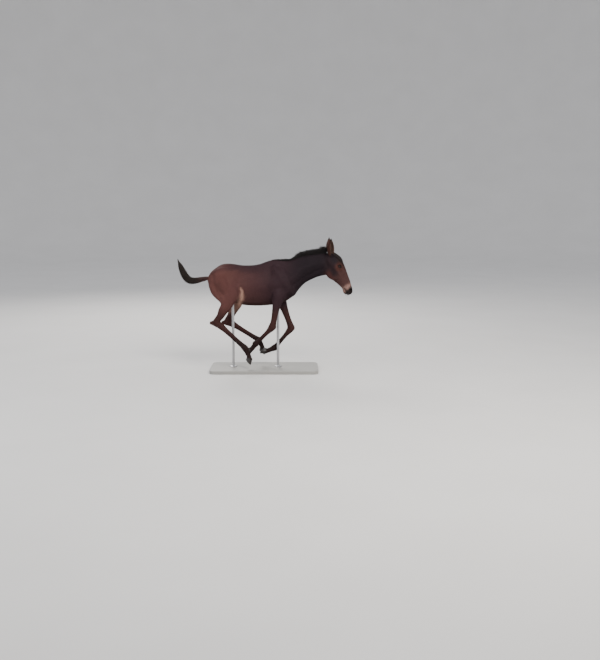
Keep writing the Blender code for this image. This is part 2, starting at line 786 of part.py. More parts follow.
def at_share(rows, share):
    # The row at a share of the way along a path whose rows begin with x, y and z.
    rows = np.array(rows, float)
    steps = np.linalg.norm(np.diff(rows[:, :3], axis=0), axis=1)
    reach = np.concatenate([[0], np.cumsum(steps)])
    return np.array([np.interp(share * reach[-1], reach, column) for column in rows.T])


def lock(points, across, width, thick):
    # A flat lock of hair with four sides, from its root to a single point at its tip.
    bm = bmesh.new()
    rings = []
    last = len(points) - 1
    for k in range(last):
        run = (points[k + 1] - points[max(k - 1, 0)]).normalized()
        side = (across - run * across.dot(run)).normalized()
        face = run.cross(side)
        taper = 1 - 0.78 * (k / last) ** 1.5 if k else 0.6
        reach = (side * (width / 2), face * (thick / 2), side * (-width / 2), face * (-thick / 2))
        rings.append([bm.verts.new(points[k] + step * taper) for step in reach])
    tip = bm.verts.new(points[-1])
    for lower, upper in zip(rings, rings[1:]):
        for k in range(4):
            m = (k + 1) % 4
            bm.faces.new((lower[k], lower[m], upper[m], upper[k]))
    for k in range(4):
        bm.faces.new((rings[-1][k], rings[-1][(k + 1) % 4], tip))
    bm.faces.new(rings[0][::-1])
    return object_from("lock", bm)


def mane_height(x):
    # How far the mane stands above the crest: low at the withers, tallest at the poll.
    return 0.004 + 0.010 * ramp(x, 0.09, 0.20) + 0.024 * ramp(x, 0.24, 0.36) + 0.014 * ramp(x, 0.48, 0.56)


def crest_line():
    # Points along the crest of the neck, as x, y, z.
    return [(row[FRONT_X], 0, row[FRONT_Z]) for row in spline_rows(trunk_rows()[8:19], 3)]


def mane_core():
    # The dense base of the mane, less than half as tall as its locks.
    points = [row for row in crest_line() if MANE_FROM - 0.02 < row[0] < MANE_TO]
    rows = []
    for x, _, z in points:
        height = MANE_CORE * mane_height(x) - 0.004
        rows.append((x - 0.002, z + height, x, z - LOCK_ROOT_DEPTH, 0, 0.011, 0.6, 0))
    return loft("core", rows, 8)


def mane_locks():
    # Short upright locks that lean to either side of the crest and a little back.
    draw = random.Random(11)
    line = [row for row in crest_line() if MANE_FROM - 0.03 < row[0] < MANE_TO + 0.03]
    locks = []
    for k in range(MANE_LOCKS):
        share = 0.05 + 0.90 * (k + 0.4 * draw.random()) / MANE_LOCKS
        here = Vector(at_share(line, share))
        run = (Vector(at_share(line, share + 0.02)) - Vector(at_share(line, share - 0.02))).normalized()
        up = run.cross(Vector((0, 1, 0)))
        side = -1 if k % 2 else 1
        height = mane_height(here.x) * draw.uniform(0.90, 1.22)
        lean = Vector((0, side * draw.uniform(0.06, 0.26), 0))
        back = run * -draw.uniform(0.05, 0.45)
        root = here - up * LOCK_ROOT_DEPTH + Vector((0, side * 0.002, 0))
        middle = here + (up + lean * 0.9 + back * 0.3) * height * 0.42
        upper = here + (up + lean * 1.4 + back * 0.8) * height * 0.74
        tip = here + (up + lean * 1.8 + back * 1.3) * height
        locks.append(lock([root, middle, upper, tip], run, draw.uniform(0.026, 0.034), 0.013))
    return locks


def face_height(along):
    # How far the front of the face stands out from the head's axis.
    stations = [(row[0], row[1]) for row in HEAD_STATIONS]
    return float(np.interp(along, *zip(*stations)))


def forelock_core():
    # The dense base of the forelock on the forehead.
    return ellipsoid(on_head(0.15, 0, 0.038), (0.082, 0.031, 0.026), HEAD_PITCH, segments=14)


def forelock_locks():
    # Locks that rise between the ears and fall forward over the forehead.
    draw = random.Random(23)
    locks = []
    for k in range(FORELOCK_LOCKS):
        across = 2 * (k + 0.5) / FORELOCK_LOCKS - 1
        start = draw.uniform(-0.05, 0.07)
        lift = draw.uniform(0.85, 1.1) * (1 - 0.40 * across * across)
        points = [on_head(start, 0.024 * across, face_height(start) - LOCK_ROOT_DEPTH)]
        for forward, spread, rise in FORELOCK_FALL:
            along = start + forward * draw.uniform(0.92, 1.08)
            points.append(on_head(along, 0.034 * across * spread, face_height(along) + rise * lift))
        locks.append(lock(points, Vector((0, 1, 0)), draw.uniform(0.023, 0.029), 0.012))
    return locks


def poll_locks():
    # The top of the mane, standing up between and behind the ears.
    draw = random.Random(31)
    locks = []
    for k, across in enumerate(POLL_ROWS):
        along = 0.022 * k
        root = on_head(along, 0.012 * across, face_height(along) - LOCK_ROOT_DEPTH)
        rise = Vector((-0.14 + 0.05 * k, 0.14 * across, 1)).normalized()
        height = draw.uniform(0.054, 0.068)
        back = Vector((-0.14, 0.03 * across, 0))
        points = [root]
        points += [root + (rise + back * share) * (height * share) for share in (0.5, 0.8, 1.1)]
        locks.append(lock(points, Vector((1, 0, 0.2)), draw.uniform(0.026, 0.032), 0.016))
    return locks


def add_mane(neck):
    boolean(neck, [mane_core(), *mane_locks()], "UNION")
    point, normal = HEAD_PLANE
    trimmed(neck, point - normal * (GAP / 2), normal)
    point, normal = NECK_PLANE
    trimmed(neck, point + normal * (GAP / 2), -normal)
    keep_largest(neck)


def add_forelock(head, ears):
    # Joins the locks to the head and cuts them clear of the neck and the ears.
    boolean(head, [forelock_core(), *forelock_locks(), *poll_locks()], "UNION")
    point, normal = HEAD_PLANE
    trimmed(head, point + normal * (GAP / 2), -normal)
    boolean(head, [swollen(ear) for ear in ears], "DIFFERENCE")
    keep_largest(head)


# The tail's middle line from the root: x, y, z, half depth, half width
TAIL = [
    (-0.480, 0, 0.872, 0.018, 0.018),
    (-0.530, 0, 0.862, 0.020, 0.020),
    (-0.590, 0, 0.850, 0.024, 0.024),
    (-0.650, 0, 0.838, 0.030, 0.028),
    (-0.705, 0, 0.846, 0.035, 0.031),
    (-0.740, 0, 0.885, 0.035, 0.031),
    (-0.762, 0, 0.930, 0.030, 0.027),
    (-0.782, 0, 0.980, 0.020, 0.018),
    (-0.795, 0, 1.012, 0.005, 0.005),
]
TAIL_PART = (Vector((-0.695, 0, 0.842)), Vector((-0.92, 0, 0.38)).normalized())
TAIL_CORE = 0.5  # of the hair's full depth
GOLDEN_ANGLE = math.radians(137.5)  # from one lock round the dock to the next


def tail_core():
    rows = [(x, y, z, deep * TAIL_CORE, wide * TAIL_CORE) for x, y, z, deep, wide in TAIL[2:-1]]
    rows = [TAIL[0], (*TAIL[1][:3], 0.016, 0.016), *rows]
    return loft("tail", spline_rows(limb_rows(rows), 2), 8)


def tail_locks():
    # Locks all round the dock that lie along it and overlap towards the tip.
    draw = random.Random(47)
    line = spline_rows(TAIL, 4)
    locks = []
    for k in range(TAIL_LOCKS):
        start = 0.10 + 0.62 * (k / TAIL_LOCKS) ** 0.85
        around = GOLDEN_ANGLE * k + draw.uniform(-0.2, 0.2)
        points = []
        for forward, depth in ((0.0, 0.30), (0.08, 0.80), (0.18, 0.98), (0.28, draw.uniform(0.75, 1.0))):
            share = min(start + forward * draw.uniform(0.95, 1.1), 1.0)
            x, y, z, deep, wide = at_share(line, share)
            ahead, behind = at_share(line, min(share + 0.02, 1)), at_share(line, share - 0.02)
            run = Vector((ahead - behind)[:3]).normalized()
            face = run.cross(Vector((0, 1, 0)))
            radial = face * (math.cos(around) * deep) + Vector((0, math.sin(around) * wide, 0))
            points.append(Vector((x, y, z)) + radial * depth)
        across = run.cross(radial).normalized()
        locks.append(lock(points, across, draw.uniform(0.034, 0.042), 0.014))
    return locks


def build_tail(trunk):
    whole = boolean(tail_core(), tail_locks(), "UNION")
    keep_largest(whole)
    point, normal = TAIL_PART
    upper = keep_largest(trimmed(copy_of(whole, "tail_dock"), point - normal * (GAP / 2), normal))
    brush = keep_largest(trimmed(copy_of(whole, "tail_brush"), point + normal * (GAP / 2), -normal))
    delete(whole)
    boolean(upper, [swollen(trunk)], "DIFFERENCE")
    return [keep_largest(upper), brush]


# Stand
def build_base():
    # A board with round corners and a small chamfer round its top.
    bm = bmesh.new()
    half_x, half_y = BASE_SIZE.x / 2 - BASE_CORNER, BASE_SIZE.y / 2 - BASE_CORNER
    rings = []
    for height, inset in ((0, 0), (BASE_SIZE.z - BASE_CHAMFER, 0), (BASE_SIZE.z, BASE_CHAMFER)):
        ring = []
        for corner, (sx, sy) in enumerate(((1, 1), (-1, 1), (-1, -1), (1, -1))):
            for k in range(CORNER_STEPS + 1):
                angle = math.pi / 2 * (corner + k / CORNER_STEPS)
                reach = BASE_CORNER - inset
                x = BASE_CENTRE_X + sx * half_x + reach * math.cos(angle)
                y = sy * half_y + reach * math.sin(angle)
                ring.append(bm.verts.new((x, y, height)))
        rings.append(ring)
    count = len(rings[0])
    for lower, upper in zip(rings, rings[1:]):
        for k in range(count):
            m = (k + 1) % count
            bm.faces.new((lower[k], lower[m], upper[m], upper[k]))
    bm.faces.new(rings[0][::-1])
    bm.faces.new(rings[-1])
    return object_from("stand_base", bm)


def turned(name, x, profile, sides=20):
    # A round solid about an upright axis at x, from a profile of radius and height.
    bm = bmesh.new()
    rings = []
    for radius, height in profile:
        ring = []
        for k in range(sides):
            angle = 2 * math.pi * k / sides
            ring.append(bm.verts.new((x + radius * math.cos(angle), radius * math.sin(angle), height)))
        rings.append(ring)
    for lower, upper in zip(rings, rings[1:]):
        for k in range(sides):
            m = (k + 1) % sides
            bm.faces.new((lower[k], lower[m], upper[m], upper[k]))
    bm.faces.new(rings[0][::-1])
    bm.faces.new(rings[-1])
    return object_from(name, bm)


def build_rod(word):
    x, top = ROD_TOPS[word]
    floor = BASE_SIZE.z + GAP
    profile = [
        (FLANGE_RADIUS, floor),
        (FLANGE_RADIUS, floor + FLANGE_HEIGHT),
        (ROD_RADIUS + 0.004, floor + FLANGE_HEIGHT + 0.003),
        (ROD_RADIUS, floor + FLANGE_HEIGHT + 0.007),
        (ROD_RADIUS, top),
    ]
    return turned("stand_rod_" + word, x, profile)


def rod_socket(word):
    x, top = ROD_TOPS[word]
    return turned("socket", x, [(ROD_RADIUS + GAP, top - 0.15), (ROD_RADIUS + GAP, top + GAP)])


def centre_on_floor(objs):
    # Moves everything so that the middle of its box stands over the origin.
    reach = [v.co.x for obj in objs for v in obj.data.vertices]
    shift = Matrix.Translation((-(min(reach) + max(reach)) / 2, 0, 0))
    for obj in objs:
        obj.data.transform(shift)


def dress(objs, slot):
    # Gives each object its material and smooth shading with sharp corners kept.
    for obj in objs:
        obj.data.materials.clear()
        obj.data.materials.append(finish(slot))
        obj.data.shade_smooth()
        obj.data.set_sharp_from_angle(angle=math.radians(40))


def main():
    clear_scene()
    skin = build_skin()
    trunk, neck = build_trunk_and_neck(skin)
    head = build_head(skin)
    delete(skin)
    ears = [build_ear(side, head) for side in (-1, 1)]
    add_mane(neck)
    add_forelock(head, ears)
    detail_head(head)
    eyes = build_eyes()
    tail = build_tail(trunk)
    boolean(trunk, [rod_socket(word) for word in ROD_TOPS], "DIFFERENCE")
    legs = [piece for leg in LEGS for piece in build_leg(leg)]
    hooves = [build_hoof(leg) for leg in LEGS]
    flesh = [trunk, neck, head, *ears, *tail, *legs]
    base, *rods = [build_base()] + [build_rod(word) for word in ROD_TOPS]
    dress(flesh, "coat")
    dress(eyes, "eye")
    dress(hooves, "hoof")
    dress([base], "stand_paint")
    dress(rods, "stand_steel")
    centre_on_floor([*flesh, *eyes, *hooves, base, *rods])


main()
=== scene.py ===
import math

import bmesh
import bpy
import numpy as np
from mathutils import Matrix, Vector
from mathutils.bvhtree import BVHTree


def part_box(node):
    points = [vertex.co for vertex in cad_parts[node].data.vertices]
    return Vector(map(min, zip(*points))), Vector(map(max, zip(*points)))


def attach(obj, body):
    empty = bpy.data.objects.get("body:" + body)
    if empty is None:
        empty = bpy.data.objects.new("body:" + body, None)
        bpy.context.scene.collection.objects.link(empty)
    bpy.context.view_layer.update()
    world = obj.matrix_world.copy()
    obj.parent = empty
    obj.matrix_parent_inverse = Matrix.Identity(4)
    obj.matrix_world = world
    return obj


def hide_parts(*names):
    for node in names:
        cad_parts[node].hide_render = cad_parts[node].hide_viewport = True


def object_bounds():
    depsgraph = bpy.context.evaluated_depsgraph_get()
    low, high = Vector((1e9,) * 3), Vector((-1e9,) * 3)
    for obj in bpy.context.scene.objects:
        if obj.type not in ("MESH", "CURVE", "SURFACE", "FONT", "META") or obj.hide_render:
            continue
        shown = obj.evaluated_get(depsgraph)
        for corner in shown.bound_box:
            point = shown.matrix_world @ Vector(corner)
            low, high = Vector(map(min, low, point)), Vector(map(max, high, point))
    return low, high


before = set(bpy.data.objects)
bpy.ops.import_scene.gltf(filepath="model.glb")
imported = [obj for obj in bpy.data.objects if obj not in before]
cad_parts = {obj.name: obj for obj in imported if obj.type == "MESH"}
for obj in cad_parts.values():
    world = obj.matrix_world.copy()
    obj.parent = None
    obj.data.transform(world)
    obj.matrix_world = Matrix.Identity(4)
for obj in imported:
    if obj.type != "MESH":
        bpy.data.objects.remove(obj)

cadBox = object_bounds()
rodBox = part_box("stand_rod_front")
rodPlace = 0.118  # the front rod's x in the shapes drawn below
frameShift = (rodBox[0].x + rodBox[1].x) / 2 - rodPlace
draw = np.random.default_rng(7)
print("frame loaded, shapes move along x by", round(frameShift, 5))

# Camera, as the photo was taken: far off to the foal's right and a little above it
camera = {
    "place": (0.324, -8.303, 1.650),
    "down": math.radians(8.717),
    "pixels": 900,  # focal length, in pixels of a picture that is 660 pixels high
    "sensor": 36,
}
cameraData = bpy.data.cameras.new("photoCamera")
cameraData.lens = camera["pixels"] / 660 * camera["sensor"]
cameraData.sensor_width = camera["sensor"]
cameraObject = bpy.data.objects.new("photoCamera", cameraData)
bpy.context.scene.collection.objects.link(cameraObject)
cameraObject.location = Vector(camera["place"]) + Vector((frameShift, 0, 0))
cameraObject.rotation_euler = (math.pi / 2 - camera["down"], 0, 0)
bpy.context.scene.camera = cameraObject


def ramp(value, low, high):
    share = np.clip((value - low) / (high - low), 0, 1)
    return share * share * (3 - 2 * share)


def unit(vectors):
    vectors = np.asarray(vectors, float)
    return vectors / np.maximum(np.linalg.norm(vectors, axis=-1, keepdims=True), 1e-9)


# Shader signs: a wrapped socket can be added, multiplied and so on, and each sign adds a Math node
class Tone:
    def __init__(self, tree, socket):
        self.tree = tree
        self.socket = socket

    def math(self, operation, *values):
        node = self.tree.nodes.new("ShaderNodeMath")
        node.operation = operation
        for place, value in enumerate(values):
            if isinstance(value, Tone):
                self.tree.links.new(value.socket, node.inputs[place])
            else:
                node.inputs[place].default_value = value
        return Tone(self.tree, node.outputs[0])

    def __add__(self, other):
        return self.math("ADD", self, other)

    def __radd__(self, other):
        return self.math("ADD", other, self)

    def __mul__(self, other):
        return self.math("MULTIPLY", self, other)

    def __truediv__(self, other):
        return self.math("DIVIDE", self, other)

    def __pow__(self, other):
        return self.math("POWER", self, other)

    def above(self, low, high):
        # 0 below low, 1 above high and smooth between
        limits = {"Value": self, "From Min": low, "From Max": high}
        return self.node("ShaderNodeMapRange", {"interpolation_type": "SMOOTHSTEP"}, limits)

    def node(self, kind, settings=None, sockets=None, output=0):
        node = self.tree.nodes.new(kind)
        for name, value in (settings or {}).items():
            setattr(node, name, value)
        for name, value in (sockets or {}).items():
            socket = node.inputs[name]
            if isinstance(value, Tone):
                self.tree.links.new(value.socket, socket)
            else:
                socket.default_value = value
        return Tone(self.tree, node.outputs[output])


def newMaterial(name, constants):
    # A Principled material. constants are set straight on its sockets.
    material = bpy.data.materials.new(name)
    material.use_nodes = True
    shader = material.node_tree.nodes["Principled BSDF"]
    for socket, value in constants.items():
        shader.inputs[socket].default_value = value
    return material, shader, Tone(material.node_tree, None)


def feed(shader, **links):
    for name, tone in links.items():
        tone.tree.links.new(tone.socket, shader.inputs[name.replace("_", " ")])


def mixed(tone, factor, first, second, blend="MIX"):
    # Colours mixed by a factor. In a colour Mix node the colour sockets are inputs 6 and 7.
    return tone.node("ShaderNodeMix", {"data_type": "RGBA", "blend_type": blend}, {0: factor, 6: first, 7: second}, 2)


def objectPlaces(tone):
    return tone.node("ShaderNodeTexCoord", output=3)


def stretched(tone, places, scale, turn=0.0):
    return tone.node("ShaderNodeMapping", sockets={"Vector": places, "Rotation": (0, turn, 0), "Scale": scale})


def noise(tone, places, scale, detail, roughness=0.5):
    sockets = {"Vector": places, "Scale": scale, "Detail": detail, "Roughness": roughness}
    return tone.node("ShaderNodeTexNoise", sockets=sockets)


def bumped(tone, strength, distance, height):
    return tone.node("ShaderNodeBump", sockets={"Strength": strength, "Distance": distance, "Height": height})


def rgb(red, green, blue):
    # A colour as a paint program shows it, from 0 to 255, in Blender's own numbers
    return np.array([((c / 255 + 0.055) / 1.055) ** 2.4 if c > 10 else c / 255 / 12.92 for c in (red, green, blue)])


def paint(mesh, colours):
    layer = mesh.attributes.get("coatColour") or mesh.attributes.new("coatColour", "FLOAT_COLOR", "POINT")
    layer.data.foreach_set("color", np.column_stack([colours, np.ones(len(colours))]).astype(np.float32).ravel())


def setPlaces(mesh, places):
    layer = mesh.attributes.new("place", "FLOAT_VECTOR", "POINT")
    layer.data.foreach_set("vector", np.asarray(places, np.float32).ravel())


def objectFrom(name, vertices, faces, colours=None, patches=None, places=None, normals=None):
    # A mesh from arrays. faces is an array of triangles, or a list of polygons.
    mesh = bpy.data.meshes.new(name)
    vertices = np.asarray(vertices, np.float32)
    if isinstance(faces, np.ndarray):
        count = len(faces)
        mesh.vertices.add(len(vertices))
        mesh.vertices.foreach_set("co", vertices.ravel())
        mesh.loops.add(count * 3)
        mesh.loops.foreach_set("vertex_index", faces.astype(np.int32).ravel())
        mesh.polygons.add(count)
        mesh.polygons.foreach_set("loop_start", np.arange(0, count * 3, 3, dtype=np.int32))
        mesh.update(calc_edges=True)
    else:
        mesh.from_pydata(vertices.tolist(), [], faces)
    mesh.shade_smooth()
    if colours is not None:
        paint(mesh, colours)
    if places is not None:
        setPlaces(mesh, places)
    if patches is not None:
        layer = mesh.uv_layers.new(name="OFBake")
        layer.uv.foreach_set("vector", patches[faces.ravel()].astype(np.float32).ravel())
    if normals is not None:
        mesh.normals_split_custom_set_from_vertices(unit(normals).tolist())
    obj = bpy.data.objects.new(name, mesh)
    bpy.context.scene.collection.objects.link(obj)
    return obj


def ringFaces(first, rings, sides):
    # Four-sided faces between closed rings of points that follow one another
    faces = []
    for r in range(rings - 1):
        for k in range(sides):
            a, b = first + r * sides + k, first + r * sides + (k + 1) % sides
            faces.append((a, b, b + sides, a + sides))
    return faces


def applyModifiers(obj):
    bpy.ops.object.select_all(action="DESELECT")
    obj.select_set(True)
    bpy.context.view_layer.objects.active = obj
    for modifier in list(obj.modifiers):
        bpy.ops.object.modifier_apply(modifier=modifier.name)
    return obj


def settle(obj, material, slot, *nodes):
    # Puts a finished piece into the frame: its place, material and the solids it stands for. slot is not used.
    obj.data.transform(Matrix.Translation((frameShift, 0, 0)))
    obj.data.materials.clear()
    obj.data.materials.append(material)
    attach(obj, "root")
    if nodes:
        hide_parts(*nodes)
    return obj


def turnOut(obj):
    # Makes all faces point outwards
    bm = bmesh.new()
    bm.from_mesh(obj.data)
    bmesh.ops.recalc_face_normals(bm, faces=bm.faces[:])
    bm.to_mesh(obj.data)
    bm.free()


def vectorsOf(rows, name):
    spots = np.zeros(len(rows) * 3, np.float32)
    rows.foreach_get(name, spots)
    return spots.reshape(-1, 3).astype(float)


def pointsOf(obj):
    return vectorsOf(obj.data.vertices, "co")


def normalsOf(obj):
    return vectorsOf(obj.data.vertex_normals, "vector")


def edgesOf(obj):
    ends = np.zeros(len(obj.data.edges) * 2, np.int32)
    obj.data.edges.foreach_get("vertices", ends)
    return ends.reshape(-1, 2)


def movePoints(obj, spots):
    obj.data.vertices.foreach_set("co", np.asarray(spots, np.float32).ravel())
    obj.data.update()


def averaged(values, edges, times, weights=None):
    # Each point's value drawn towards its neighbours' mean, again and again
    count = len(values)
    near = np.bincount(edges.ravel(), minlength=count)[:, None]
    for step in range(times):
        total = np.zeros_like(values)
        for column in range(values.shape[1]):
            total[:, column] = np.bincount(edges[:, 0], values[edges[:, 1], column], count)
            total[:, column] += np.bincount(edges[:, 1], values[edges[:, 0], column], count)
        mean = total / np.maximum(near, 1)
        share = 0.5 if weights is None else 0.5 * weights[:, None]
        values = values + (mean - values) * share
    return values


# The foal's own sizes, the same as in its solids
foal = {
    "poll": Vector((0.600, 0, 1.092)),
    "headLength": 0.43,
    "headPitch": math.radians(63),
    "eyePlace": (0.335, 0.0545, 0.019),
    "eyeRadius": 0.0175,
    "earLength": 0.175,
    "earWidest": 0.035,
    "earWidestAt": 0.42,
    "earBend": 0.020,
    "earLean": math.radians(20),
    "earBack": {-1: math.radians(6), 1: math.radians(10)},
    "earOpening": math.radians(42),
    "earRoot": (0.055, 0.040, 0.000),
}
# Ways on the head: along its axis to the muzzle, and out at its front; then the same as rows of numbers
along = Vector((math.cos(foal["headPitch"]), 0, -math.sin(foal["headPitch"])))
out = Vector((math.sin(foal["headPitch"]), 0, math.cos(foal["headPitch"])))
left = Vector((0, 1, 0))
alongRow, outRow, leftRow, pollRow = (np.array(v) for v in (along, out, left, foal["poll"]))


def onHead(share, side, reach):
    return foal["poll"] + along * (share * foal["headLength"]) + left * side + out * reach


# Sections: front x z, back x z, middle y, half width, how much it narrows to the front and back
trunkRows = [
    (-0.526, 0.868, -0.530, 0.828, 0, 0.040, 0.10, 0.10),
    (-0.505, 0.914, -0.512, 0.780, 0, 0.078, 0.15, 0.25),
    (-0.457, 0.957, -0.466, 0.742, 0, 0.104, 0.25, 0.30),
    (-0.395, 0.994, -0.402, 0.696, 0, 0.116, 0.32, 0.30),
    (-0.310, 1.000, -0.316, 0.644, 0, 0.118, 0.36, 0.22),
    (-0.220, 0.986, -0.220, 0.616, 0, 0.120, 0.38, 0.18),
    (-0.137, 0.984, -0.140, 0.607, 0, 0.124, 0.40, 0.20),
    (-0.050, 0.996, -0.060, 0.605, 0, 0.124, 0.45, 0.24),
    (0.020, 1.023, 0.000, 0.608, 0, 0.116, 0.55, 0.30),
    (0.078, 1.038, 0.065, 0.614, 0, 0.106, 0.65, 0.35),
    (0.140, 1.034, 0.140, 0.626, 0, 0.098, 0.65, 0.35),
    (0.200, 1.030, 0.205, 0.652, 0, 0.092, 0.60, 0.30),
    (0.250, 1.040, 0.275, 0.704, 0, 0.082, 0.58, 0.20),
    (0.300, 1.060, 0.325, 0.768, 0, 0.072, 0.55, 0.15),
    (0.355, 1.076, 0.372, 0.815, 0, 0.064, 0.52, 0.15),
    (0.425, 1.088, 0.440, 0.852, 0, 0.058, 0.50, 0.12),
    (0.495, 1.096, 0.512, 0.880, 0, 0.054, 0.46, 0.10),
    (0.565, 1.101, 0.585, 0.895, 0, 0.053, 0.40, 0.10),
    (0.620, 1.070, 0.640, 0.930, 0, 0.046, 0.30, 0.10),
]
# Head: share of its length, front and jaw from the axis, half width, how much it narrows to the front and back
headStations = [
    (-0.02, 0.006, -0.060, 0.040, 0.20, 0.10),
    (0.08, 0.040, -0.104, 0.055, 0.16, 0.20),
    (0.20, 0.060, -0.126, 0.067, 0.10, 0.36),
    (0.31, 0.066, -0.129, 0.071, 0.10, 0.48),
    (0.42, 0.062, -0.114, 0.062, 0.24, 0.46),
    (0.54, 0.056, -0.090, 0.049, 0.36, 0.38),
    (0.66, 0.050, -0.066, 0.040, 0.40, 0.30),
    (0.77, 0.045, -0.049, 0.037, 0.34, 0.25),
    (0.87, 0.041, -0.042, 0.038, 0.30, 0.25),
    (0.95, 0.030, -0.034, 0.034, 0.28, 0.20),
    (0.988, 0.014, -0.019, 0.023, 0.20, 0.10),
]
# Joints of each leg, from elbow or stifle to the toe, and how far its hoof is folded back
legs = {
    "foreRight": {
        "joints": ((0.118, -0.085, 0.672), (0.070, -0.070, 0.414), (-0.088, -0.037, 0.252), (-0.185, -0.036, 0.147)),
        "fold": 103,
    },
    "foreLeft": {
        "joints": ((0.145, 0.085, 0.652), (0.243, 0.070, 0.385), (0.083, 0.042, 0.200), (-0.058, 0.040, 0.150)),
        "fold": 128,
    },
    "hindRight": {
        "joints": ((-0.285, -0.098, 0.732), (-0.446, -0.088, 0.464), (-0.179, -0.114, 0.222), (-0.131, -0.116, 0.066)),
        "fold": 47,
    },
    "hindLeft": {
        "joints": ((-0.222, 0.098, 0.718), (-0.356, 0.088, 0.450), (-0.064, 0.116, 0.262), (-0.010, 0.118, 0.122)),
        "fold": 38,
    },
}
# Along each bone of a leg: share of the way, half depth, half width
legSizes = {
    "foreUpper": [
        (-0.34, 0.030, 0.014), (-0.18, 0.054, 0.034), (0.0, 0.056, 0.038), (0.25, 0.039, 0.033),
        (0.50, 0.031, 0.029), (0.75, 0.028, 0.0265), (0.90, 0.030, 0.029),
    ],
    "foreLower": [
        (0.0, 0.033, 0.032), (0.16, 0.027, 0.026), (0.32, 0.0205, 0.0185),
        (0.55, 0.0190, 0.0170), (0.80, 0.0205, 0.0185),
    ],
    "hindUpper": [
        (-0.45, 0.050, 0.020), (-0.25, 0.078, 0.040), (0.0, 0.072, 0.044), (0.20, 0.062, 0.041),
        (0.40, 0.051, 0.036), (0.60, 0.038, 0.029), (0.80, 0.031, 0.024),
    ],
    "hindLower": [
        (0.0, 0.037, 0.029), (0.14, 0.032, 0.026), (0.30, 0.0245, 0.0205),
        (0.55, 0.0215, 0.0180), (0.82, 0.0225, 0.0195),
    ],
    "pastern": [(0.0, 0.028, 0.026), (0.30, 0.0225, 0.0215), (0.60, 0.0220, 0.0225)],
}
hoof = {
    "coronetFront": Vector((-0.031, 0, 0.047)),
    "coronetBack": Vector((-0.080, 0, 0.030)),
    "heel": Vector((-0.069, 0, 0)),
    "coronetHalfWidth": 0.0285,
    "groundHalfWidth": 0.0355,
    "steps": (  # share of the way down, swelling
        (0.0, 0.0), (0.05, 0.0012), (0.10, 0.0016), (0.20, 0.0013), (0.30, 0.0010),
        (0.50, 0.0007), (0.70, 0.0003), (0.90, 0.0), (0.97, -0.002), (1.0, -0.005),
    ),
    "sole": ((0.86, 0.000), (0.80, 0.0035), (0.50, 0.0055), (0.15, 0.0060)),  # reach inwards, depth
    # place from the heels, half width, depth
    "frog": ((0.0, 0.017, 0.001), (0.22, 0.013, -0.001), (0.42, 0.008, 0.000), (0.60, 0.003, 0.003)),
    "frogLength": 0.62,
    "cleft": ((-1, 0.006), (-0.62, -0.0008), (0, 0.0028), (0.62, -0.0008), (1, 0.006), (0, 0.010)),  # across it, depth
    "sides": 40,
}


def hoofPoints(leg):
    turn = Matrix.Rotation(math.radians(legs[leg]["fold"]), 3, "Y")
    toe = Vector(legs[leg]["joints"][3])
    return toe + turn @ hoof["coronetFront"], toe + turn @ hoof["coronetBack"], toe, toe + turn @ hoof["heel"]


def splineRows(rows, steps):
    # A smooth run of rows through the given ones
    rows = np.array(rows, float)
    padded = np.vstack([2 * rows[0] - rows[1], rows, 2 * rows[-1] - rows[-2]])
    made = []
    for a, b, c, d in zip(padded, padded[1:], padded[2:], padded[3:]):
        for step in range(steps):
            t = step / steps
            bend, twist = 2 * a - 5 * b + 4 * c - d, 3 * b - a - 3 * c + d
            made.append(0.5 * (2 * b + (c - a) * t + bend * t**2 + twist * t**3))
    return np.vstack([made, rows[-1]])


def section(row, sides, fullness):
    front = Vector((row[0], row[4], row[1]))
    back = Vector((row[2], row[4], row[3]))
    centre = (front + back) / 2
    points = []
    for k in range(sides):
        angle = 2 * math.pi * (k + 0.5) / sides
        across, reach = math.cos(angle), math.sin(angle)
        across = math.copysign(abs(across) ** (2 / fullness), across)
        reach = math.copysign(abs(reach) ** (2 / fullness), reach)
        across *= 1 - row[6] * max(0, reach) - row[7] * max(0, -reach)
        points.append(centre + (front - centre) * reach + left * (row[5] * across))
    return points


def addLoft(clay, rows, sides=24, fullness=2.0):
    rings = [[clay.verts.new(p) for p in section(row, sides, fullness)] for row in rows]
    for lower, upper in zip(rings, rings[1:]):
        for k in range(sides):
            m = (k + 1) % sides
            clay.faces.new((lower[k], lower[m], upper[m], upper[k]))
    clay.faces.new(rings[0][::-1])
    clay.faces.new(rings[-1])


def addBall(clay, centre, radii, pitch=0.0, yaw=0.0):
    place = Matrix.Translation(centre) @ Matrix.Rotation(yaw, 4, "Z") @ Matrix.Rotation(pitch, 4, "Y")
    bmesh.ops.create_uvsphere(clay, u_segments=32, v_segments=17, radius=1, matrix=place @ Matrix.Diagonal((*radii, 1)))


def limbRows(points):
    points = np.array(points, float)
    rows = []
    for k, (x, y, z, deep, wide) in enumerate(points):
        before, after = points[max(k - 1, 0)], points[min(k + 1, len(points) - 1)]
        run = Vector((after[0] - before[0], after[2] - before[2])).normalized()
        front = Vector((-run.y, run.x)) * deep
        rows.append((x + front.x, z + front.y, x - front.x, z - front.y, y, wide, 0, 0))
    return rows


def legPoints(leg):
    # Centre, half depth and half width all down the leg
    kind = leg[:4]
    a, b, c, _ = (Vector(j) for j in legs[leg]["joints"])
    front, back, _, _ = hoofPoints(leg)
    end = (front + back) / 2
    points = []
    for start, stop, sizes in ((a, b, kind + "Upper"), (b, c, kind + "Lower"), (c, end, "pastern")):
        points += [(*start.lerp(stop, share), deep, wide) for share, deep, wide in legSizes[sizes]]
    points.append((*end, -hoof["coronetFront"].x, hoof["coronetHalfWidth"]))
    return points


